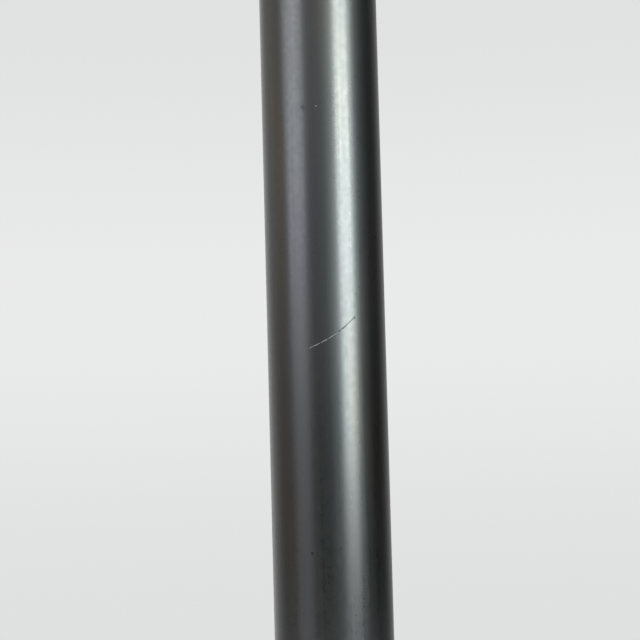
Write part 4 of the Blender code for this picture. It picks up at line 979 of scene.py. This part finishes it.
def swivel_bush():
    """The bearing in the pole's upper end, with the lug in its recess that stops the neck's pin."""
    low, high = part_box("swivel_bush")
    flange, recess_top, bore = high.z - 0.002, low.z + 0.006, SPIGOT_RADIUS + GAP
    outer = TUBE_RADIUS - TUBE_WALL - GAP
    profile = [(TUBE_RADIUS, high.z), (TUBE_RADIUS, flange), (outer, flange), (outer, low.z)]
    profile += [(BUSH_RECESS, low.z), (BUSH_RECESS, recess_top), (bore, recess_top), (bore, high.z)]
    half_deg = 180.0 - PAN_END_DEG - degrees(asin(PIN_HOLE / bore))
    inner = arc(90.0 - half_deg, 90.0 + half_deg, bore, 16)
    outline = inner + list(reversed(arc(90.0 - half_deg, 90.0 + half_deg, BUSH_RECESS + 0.0005, 16)))
    lug = slab_bm(outline, 0.0065, Matrix.Translation((0, 0, low.z + 0.00325)))
    mesh = carve(lathe(softened(profile, 0.0003), 128), join=[lug])
    add_piece("pivot_bush", mesh, ACETAL, "stand", "acetal", "swivel_bush", sharp_deg=40)


# ---- neck


def neck_fork():
    """The cast fork: a round foot with a spigot, flat-sided shoulders and two ears for the hinge."""
    axis = TILT_AXIS.z
    bush_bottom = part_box("swivel_bush")[0].z
    groove_top, pin_z = bush_bottom - 0.0013, bush_bottom + 0.003
    profile = [(0.0, axis + 0.016), (TUBE_RADIUS, axis + 0.016), (TUBE_RADIUS, NECK_BOTTOM + 0.0004)]
    profile += [(TUBE_RADIUS - 0.0004, NECK_BOTTOM), (SPIGOT_RADIUS, NECK_BOTTOM)]
    profile += [(SPIGOT_RADIUS, groove_top), (SPIGOT_RADIUS - 0.001, groove_top)]
    profile += [(SPIGOT_RADIUS - 0.001, groove_top - 0.0018)]
    profile += [(SPIGOT_RADIUS, groove_top - 0.0018), (SPIGOT_RADIUS, SPIGOT_BOTTOM + 0.0005)]
    profile += [(SPIGOT_RADIUS - 0.0005, SPIGOT_BOTTOM), (0.0, SPIGOT_BOTTOM)]
    wide, shoulder = 2 * TUBE_RADIUS, axis - 0.0125
    right = [(wide, SPIGOT_BOTTOM - 0.01), (wide, shoulder - 0.005), (TUBE_RADIUS, shoulder - 0.005)]
    right.append((0.018, shoulder))
    outline = right + arc(-15, 195, EAR_RADIUS, 64, (0.0, axis)) + [(-x, y) for x, y in reversed(right)]
    sideways = turned(90, "Z") @ turned(90, "X")
    cuts = [
        box_bm((FORK_SLOT, 0.1, 0.05), (0, 0, axis - 0.0148 + 0.025)),
        rod_bm(SPIGOT_BORE, (0, 0, SPIGOT_BOTTOM - 0.01), (0, 0, axis + 0.02), 64),
        rod_bm(BOLT_HOLE, (-0.03, 0, axis), (0.03, 0, axis), 40),
        rod_bm(PIN_HOLE, (0, -0.02, pin_z), (0, -0.009, pin_z), 24),
    ]
    cuts += [rod_bm(0.0064, (side * BOLT_SEAT, 0, axis), (side * 0.03, 0, axis), 64) for side in (1, -1)]
    mesh = carve(lathe(profile, 144), keep=[slab_bm(outline, 4 * TUBE_RADIUS, sideways)], cut=cuts)
    add_solid("swivel_fork", mesh, CASTING, "neck", "painted_casting", "neck_fork", ease=0.00035)


def hinge_caps():
    """Round plugs over the hinge bolts, crowned, with a small moulding dimple."""
    profile = [(0.0, 0.00062), (0.0007, 0.00064), (0.0011, 0.00074), (0.0022, 0.00068), (0.004, 0.00046)]
    profile += [(0.0055, -0.00002), (0.0059, -0.0003), (0.006, -0.0005), (0.006, -0.0008), (0.0, -0.0008)]
    for side, name in ((-1, "left"), (1, "right")):
        place = along((side, 0, 0), (side * (TUBE_RADIUS - 0.0008), 0, TILT_AXIS.z))
        cap, node = moved(lathe(profile, 64), place), f"hinge_cap_{name}"
        add_piece(f"bolt_cap_{name}", cap, BLACK, "neck", "black_plastic", node, sharp_deg=40)


def swivel_rings():
    """The steel washer that shows as a thin line under the fork, and the acetal one below the bush."""
    rings = [("swivel_shim", "swivel_washer", 2 * GAP, PLATED, "plated_steel")]
    rings += [("thrust_ring", "thrust_washer", GAP, ACETAL, "acetal")]
    for name, node, clearance, material, slot in rings:
        low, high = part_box(node)
        bore = SPIGOT_RADIUS + clearance
        profile = [(high.x, high.z), (high.x, low.z), (bore, low.z), (bore, high.z)]
        add_piece(name, lathe(softened(profile, 0.00015), 144), material, "neck", slot, node)


# ---- head


def tilt_bracket():
    """The barrel between the ears, its stem and the plate that the head is screwed to."""
    axis, half = TILT_AXIS.z, 0.0104
    plate_low, plate_high = HEAD_BOTTOM - GAP - 0.0035, HEAD_BOTTOM - GAP
    plate = [outline_ring((0.062, 0.026), 0.005, 0, z, middle=(0, 0.004)) for z in (plate_low, plate_high)]
    stem_top = plate_low + 0.0005
    stem = box_bm((2 * half, 0.018, stem_top - axis), (0, 0, (stem_top + axis) / 2))
    barrel = rod_bm(0.014, (-half, 0, axis), (half, 0, axis), 128)
    cuts = [box_bm((0.009, 0.009, 0.06), (0, 0, axis + 0.02))]
    cuts.append(box_bm((0.009, 0.024, 0.02), (0, 0, axis - 0.01)))
    cuts += [rod_bm(BOLT_HOLE, (side * 0.0059, 0, axis), (side * 0.02, 0, axis)) for side in (1, -1)]
    cuts += rods(M4_HOLE, BRACKET_SCREWS, plate_low - 0.005, plate_high + 0.005)
    mesh = carve(barrel, join=[stem, loft(plate, capped=True)], cut=cuts)
    add_solid("hinge_bracket", mesh, CASTING, "head", "painted_casting", "tilt_bracket", ease=0.0004)


def hinge_hardware():
    """The bolts that the head turns on, each with a socket drive, and their washers."""
    shank, head, height, _ = SCREWS["M6"]
    length = BOLT_SEAT - 0.0062
    bolt = [(0.0, height), (head * 0.9, height), (head, height * 0.6), (head, 0.0002), (head * 0.97, 0.0)]
    bolt += [(shank, 0.0), (shank, -length + 0.0006), (shank * 0.8, -length), (0.0, -length)]
    top, bottom, drive = height + 0.001, height - 0.0013, 0.0021
    socket = [(0.0, top), (drive, top), (drive, bottom), (0.0, bottom)]
    for side, name in ((-1, "left"), (1, "right")):
        body, node = carve(lathe(bolt, 64), cut=[lathe(socket, 6)]), f"hinge_bolt_{name}"
        body.transform(along((side, 0, 0), (side * (BOLT_SEAT + GAP), 0, TILT_AXIS.z)))
        add_piece(f"tilt_bolt_{name}", body, DARK_SCREW, "head", "plated_steel", node, sharp_deg=40)
        node = f"friction_washer_{name}"
        low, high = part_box(node)
        half = (high.x - low.x) / 2
        ring = softened([(0.011, half), (0.011, -half), (BOLT_HOLE, -half), (BOLT_HOLE, half)], 0.0002)
        washer = moved(lathe(ring, 96), along((side, 0, 0), (low + high) / 2))
        add_piece(f"tilt_washer_{name}", washer, ACETAL, "head", "acetal", node)


def front_bezel():
    """The head's front: a rounded frame with a recess for the filter, a window, and bosses behind."""
    floor, inside = HEAD_FRONT + FILTER_THICKNESS + GAP, HEAD_FRONT + FRONT_WALL
    rim = [(FRONT_RIM - x, HEAD_FRONT + FRONT_RIM - y) for x, y in arc(0, 90, FRONT_RIM, 12)]
    side = [(0.0006, HEAD_SPLIT), (0.0, HEAD_SPLIT - 0.0006), *rim, (FRONT_RIM + 0.0005, HEAD_FRONT)]
    recess = [(-0.0009, HEAD_FRONT), (-0.0003, HEAD_FRONT), (0.0, HEAD_FRONT + 0.0003)]
    recess += [(0.0, floor), (0.0004, floor)]
    window = [(-0.0005, floor), (-0.0001, floor), (0.0, floor + 0.0001), (0.0, inside), (-0.0004, inside)]
    hollow = [(0.0004, inside), (0.0, inside), (0.0, HEAD_SPLIT)]
    rings = head_rings(HEAD_OUTER, *side) + head_rings(RECESS, *recess)
    rings += head_rings(WINDOW, *window) + head_rings(HEAD_HOLLOW, *hollow)
    bosses = rods(0.0035, BOARD_SCREWS, inside - 0.0005, BOARD_BACK - 0.0019, axis="Y")
    bosses += rods(0.0038, CASE_SCREWS, inside - 0.0005, HEAD_SPLIT, axis="Y")
    pilots = rods(M3_PILOT, BOARD_SCREWS, BOARD_BACK - 0.0096, 0, 24, "Y")
    pilots += rods(M3_PILOT, CASE_SCREWS, HEAD_SPLIT - 0.0095, 0, 24, "Y")
    mesh = carve(loft(rings, loop=True), join=bosses, cut=pilots)
    add_solid("bezel_frame", mesh, CHARCOAL, "head", "charcoal_plastic", "front_bezel")


def display_filter():
    """The smoked pane, polished, with a fine chamfer round its front edge."""
    back = HEAD_FRONT + FILTER_THICKNESS
    edge = [(0.0001, back), (0.0, back - 0.0001), (0.0, HEAD_FRONT + 0.00035)]
    edge += [(0.0001, HEAD_FRONT + 0.00015), (0.0003, HEAD_FRONT)]
    pane = loft(head_rings((FILTER_SIZE, FILTER_CORNER), *edge), capped=True)
    add_solid("filter_pane", pane, FILTER, "head", "filter", "display_filter")


def rear_case():
    """The head's rear shell: a deep round rim, ventilation slots, screw wells and a recess for a label."""
    front, inside, boss = HEAD_SPLIT + GAP, HEAD_REAR - BACK_WALL, HEAD_BOTTOM + HEAD_WALL / 2
    hollow = [(0.004, inside), (0.0005, inside), (0.0, inside - 0.0005), (0.0, front)]
    rim = [(REAR_RIM - x, HEAD_REAR - REAR_RIM + y) for x, y in arc(0, 90, REAR_RIM, 14)]
    side = [(0.0006, front), (0.0, front + 0.0006), *rim, (REAR_RIM + 0.0006, HEAD_REAR)]
    rings = head_rings(HEAD_HOLLOW, *hollow) + head_rings(HEAD_OUTER, *side)
    bosses = rods(0.0047, CASE_SCREWS, front, 0.015, axis="Y")
    bosses += rods(0.0042, BRACKET_SCREWS, boss, boss + 0.009)
    cuts = []
    for place in CASE_SCREWS:
        cuts += rods(M3_HOLE, [place], HEAD_FRONT, 0.03, 24, "Y")
        cuts += rods(BOLT_HOLE, [place], CASE_SCREW_SEAT, 0.03, 48, "Y")
    cuts += rods(M4_HOLE, BRACKET_SCREWS, HEAD_BOTTOM - 0.003, HEAD_BOTTOM + 0.009, 24)
    cuts += rods(0.0055, [(0, 0)], HEAD_BOTTOM - 0.01, HEAD_BOTTOM + 0.01, 48)
    upright = turned(90, "X")
    for number in range(9):
        place = Matrix.Translation(((number - 4) * 0.0085, HEAD_REAR, HEAD_MIDDLE + 0.012))
        cuts.append(slab_bm(rounded_rectangle(0.0026, 0.024, 0.00128, 10), 0.0135, place @ upright))
    place = Matrix.Translation((0, HEAD_REAR, HEAD_MIDDLE - 0.02))
    cuts.append(slab_bm(rounded_rectangle(0.056, 0.02, 0.002, 10), 0.0008, place @ upright))
    mesh = carve(loft(rings, capped=True), join=bosses, cut=cuts)
    add_solid("rear_shell", mesh, CHARCOAL, "head", "charcoal_plastic", "rear_case", ease=0.00025)


def vacuum_display():
    """The display tube: a glass envelope, a dark back, dots of unlit phosphor, and filaments in a frame."""
    low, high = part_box("vacuum_display")
    size, middle = high - low, (low + high) / 2
    glass = box_bm(size, middle)
    add_solid("display_envelope", glass, GLASS, "head", "display_glass", "vacuum_display", ease=0.0005)
    back_y = middle.y + 0.0008
    back = box_bm((size.x - 0.006, 0.0006, size.z - 0.006), (0, back_y, middle.z), 0.0001)
    add_solid("display_back", back, CERAMIC, "head", "display_glass")
    dots = bmesh.new()
    dot = Matrix.Diagonal((0.00094, 0.00008, 0.00104, 1))
    for row in range(2):
        for column in range(20):
            for i in range(5):
                for j in range(7):
                    x = (column - 9.5) * 0.0085 + (i - 2) * 0.00118
                    z = middle.z + (0.5 - row) * 0.015 + (j - 3) * 0.00132
                    place = Matrix.Translation((x, back_y - 0.00036, z))
                    bmesh.ops.create_cube(dots, size=1.0, matrix=place @ dot)
    add_piece("display_dots", dots, PHOSPHOR, "head", "display_glass")
    wires = []
    for level in (-0.015, -0.005, 0.005, 0.015):
        ends = [(x, middle.y - 0.0015, middle.z + level) for x in (-0.091, 0.091)]
        wires.append(rod_bm(0.00003, *ends, 8))
    for side in (-1, 1):
        wires.append(box_bm((0.0016, 0.003, 0.034), (side * 0.0915, middle.y - 0.0005, middle.z), 0.0002))
    add_piece("display_filaments", merged(*wires), BARE_STEEL, "head", "display_glass", sharp_deg=40)


def add_lead(name, route, spacing, body, next_body, start, end, *nodes):
    """A cable of one mesh along its route, standing in for the given nodes."""
    made = linked(name, tube_mesh(route, CABLE_RADIUS, spacing))
    made.data.materials.append(JACKET)
    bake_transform(made)
    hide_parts(*nodes)


def cables():
    """The cable from the base's header up through the pole and neck, and on to the header in the head."""
    low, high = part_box("harness_header")
    route = [(0, low.y - GAP, (low.z + high.z) / 2), (0, 0.034, 0.016), (0, 0.023, 0.0172)]
    route += [(0, 0.0125, 0.0184), (0, 0.0045, 0.0238), (0, 0.0008, 0.033)]
    route += [(0, 0, z) for z in (0.048, 0.09, 0.145, 0.2, 0.255, 0.3059, 0.3344)]
    add_lead("pole_lead", route, 0.003, "stand", "neck", (0, 0, 0.24), (0, 0, 0.3059), "pole_harness")
    axis = TILT_AXIS.z
    low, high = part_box("display_header")
    route = [(0, 0, z) for z in (0.3344, 0.35, axis, axis + 0.01, axis + 0.019)]
    route += [(0.0008, 0.0006, axis + 0.029), (0.006, 0.0034, axis + 0.04)]
    route += [(0.016, 0.0042, axis + 0.0468), (0.0215, 0.0016, axis + 0.0482)]
    route.append((0.022, high.y + GAP, (low.z + high.z) / 2))
    start, end = (0, 0, axis - 0.006), (0, 0, axis + 0.006)
    add_lead("head_lead", route, 0.0012, "neck", "head", start, end, "neck_harness", "head_harness")


# ---- the CAD nodes that stay

STAYING = [  # material, slot, and how far each node's edges are rounded
    (IRON, "cast_iron", {"ballast_weight": 0.0008}),
    (BOARD, "circuit_board", {"interface_board": 0.0001, "display_board": 0.0001}),
    (NYLON, "connector", {"harness_header": 0.0003, "display_header": 0.0003}),
    (BLACK, "black_plastic", {"switch_housing": 0.0002}),
    (ALUMINIUM, "cast_aluminium", {"pole_socket": 0.0003}),
    (PLATED, "plated_steel", {"set_screw": 0.0002, "pan_stop_pin": 0.0002, "retaining_ring": 0.0001}),
    (EPOXY, "component", {"controller_chip": 0.0002, "power_transformer": 0.0005}),
]


def staying_nodes():
    for material, slot, widths in STAYING:
        for name, width in widths.items():
            node = frame["nodes"][name]
            node.data.materials.clear()
            node.data.materials.append(material)
            ease_edges(node, width)


# ---- studio

FLOOR_FULL, FLOOR_END = 0.17, 0.5
CAMERA_PLACE = (0.0, -0.45, 0.1714)
CAMERA_YAW_DEG, CAMERA_PITCH_DEG, CAMERA_ROLL_DEG = -0.247, 3.000, -1.511
CAMERA_LENS = 78.5
LIGHT_TARGET = (0, 0, 0.25)
LIGHTS = [  # name, distance from the pole, azimuth from the front to +X, height, size, radiance, colour
    ("key", 1.9, 43.2, 0.56, (0.93, 0.98), 7.3, (0.965, 1.0, 0.985)),
    ("key_skirt", 1.95, 40.0, 0.6, (2.3, 1.06), 0.5, (0.7, 1.0, 0.94)),
    ("strip", 1.9, -54.0, 0.93, (1.36, 1.16), 1.98, (0.9, 0.92, 1.0)),
    ("low_strip", 1.95, -52.0, 0.1, (1.1, 1.3), 0.38, (0.97, 0.94, 1.0)),
    ("fill", 1.9, -98.0, 0.95, (1.3, 1.3), 0.34, (1.0, 0.82, 0.68)),
    ("low_fill", 1.95, -80.0, 0.05, (1.2, 1.3), 0.15, (1.0, 0.84, 0.74)),
    ("rear", 1.7, 152.0, 1.55, (1.2, 0.8), 2.2, (1.0, 1.0, 1.0)),
    ("overhead", 0.0, 0.0, 1.8, (1.6, 1.6), 2.6, (1.0, 1.0, 1.0)),
]
BACKDROP = [  # by the height of the direction
    (-0.3, (0.735, 0.738, 0.742)),
    (-0.15, (0.745, 0.748, 0.752)),
    (0.06, (0.823, 0.825, 0.828)),
    (0.28, (0.753, 0.756, 0.76)),
    (0.4, (0.74, 0.742, 0.746)),
]
WALL_DIRECTION = (-0.25, 0.968, 0.0)  # towards the middle of the pale wall behind the object
# The room in front of the object, by how far a direction points towards that wall
ROOM = [(-1.0, (0.38, 0.38, 0.39)), (-0.5, 0.2), (0.0, 0.045), (0.3, 0.0)]
ROOM_HEIGHT = [(-0.4, 0.02), (-0.04, 0.12), (0.12, 1.3)]  # the room's share, by the direction's height
WALL = [(0.0, 0.0), (0.3, 0.07), (0.55, 0.26), (0.8, 0.5), (1.0, 0.8)]  # placed as the room's are


def camera():
    data = bpy.data.cameras.new("camera")
    data.lens = CAMERA_LENS
    data.sensor_width = 36.0
    data.clip_start = 0.01
    made = linked("camera", data)
    view = turned(-CAMERA_YAW_DEG, "Z") @ turned(90 + CAMERA_PITCH_DEG, "X") @ turned(CAMERA_ROLL_DEG, "Z")
    made.matrix_world = Matrix.Translation(CAMERA_PLACE) @ view
    bpy.context.scene.camera = made


def softbox(name, distance, azimuth_deg, height, size, radiance, colour):
    """A rectangular light of a given brightness, which the camera doesn't see."""
    angle = radians(azimuth_deg)
    centre = Vector((distance * sin(angle), -distance * cos(angle), height))
    data = bpy.data.lights.new(name, "AREA")
    data.shape = "RECTANGLE"
    data.size, data.size_y = size
    data.energy = radiance * pi * size[0] * size[1]
    data.color = colour
    made = linked(name, data)
    made.location = centre
    made.rotation_mode = "QUATERNION"
    made.rotation_quaternion = (Vector(LIGHT_TARGET) - centre).to_track_quat("-Z", "Y")
    made.visible_camera = False


def floor():
    bm = bmesh.new()
    bmesh.ops.create_circle(bm, cap_ends=True, segments=96, radius=FLOOR_END)
    made = linked("floor", mesh_of(bm))
    made.data.materials.append(floor_paint("floor", FLOOR_FULL, FLOOR_END))


def surroundings():
    """A pale backdrop for the camera, and for the rest a dim room with a pale wall behind the object."""
    world = bpy.data.worlds.new("studio")
    bpy.context.scene.world = world
    world.use_nodes = True
    world.node_tree.nodes.clear()
    sky = Nodes(world.node_tree)

    def graded(value, low, high, stops):
        places = [((at - low) / (high - low), colour) for at, colour in stops]
        return sky.ramp(sky.range(value, low, high, 0.0, 1.0), *places, interpolation="EASE")

    direction = sky.node("ShaderNodeTexCoord").outputs["Generated"]
    height = sky.node("ShaderNodeSeparateXYZ", {"Vector": direction}).outputs["Z"]
    behind = sky.vector("DOT_PRODUCT", direction, WALL_DIRECTION, output="Value")
    room = sky.vector("MULTIPLY", graded(behind, -1.0, 1.0, ROOM), graded(height, -0.4, 0.25, ROOM_HEIGHT))
    shaded = sky.vector("ADD", room, graded(behind, -1.0, 1.0, WALL))
    seen = sky.node("ShaderNodeBackground", {"Color": graded(height, -0.3, 0.4, BACKDROP)}).outputs[0]
    felt = sky.node("ShaderNodeBackground", {"Color": shaded}).outputs[0]
    is_camera = sky.node("ShaderNodeLightPath").outputs["Is Camera Ray"]
    mixed = sky.node("ShaderNodeMixShader", {0: is_camera, 1: felt, 2: seen})
    sky.node("ShaderNodeOutputWorld", {"Surface": mixed.outputs[0]})


base_cover()
base_pan()
rubber_feet()
data_jack()
power_switch()
pole()
pole_collar()
swivel_bush()
neck_fork()
hinge_caps()
swivel_rings()
tilt_bracket()
hinge_hardware()
front_bezel()
display_filter()
rear_case()
vacuum_display()
cables()
for fastener in FASTENERS:
    add_screws(*fastener)
staying_nodes()

floor()
for light in LIGHTS:
    softbox(*light)
surroundings()
camera()
bpy.context.scene.view_settings.view_transform = "Standard"
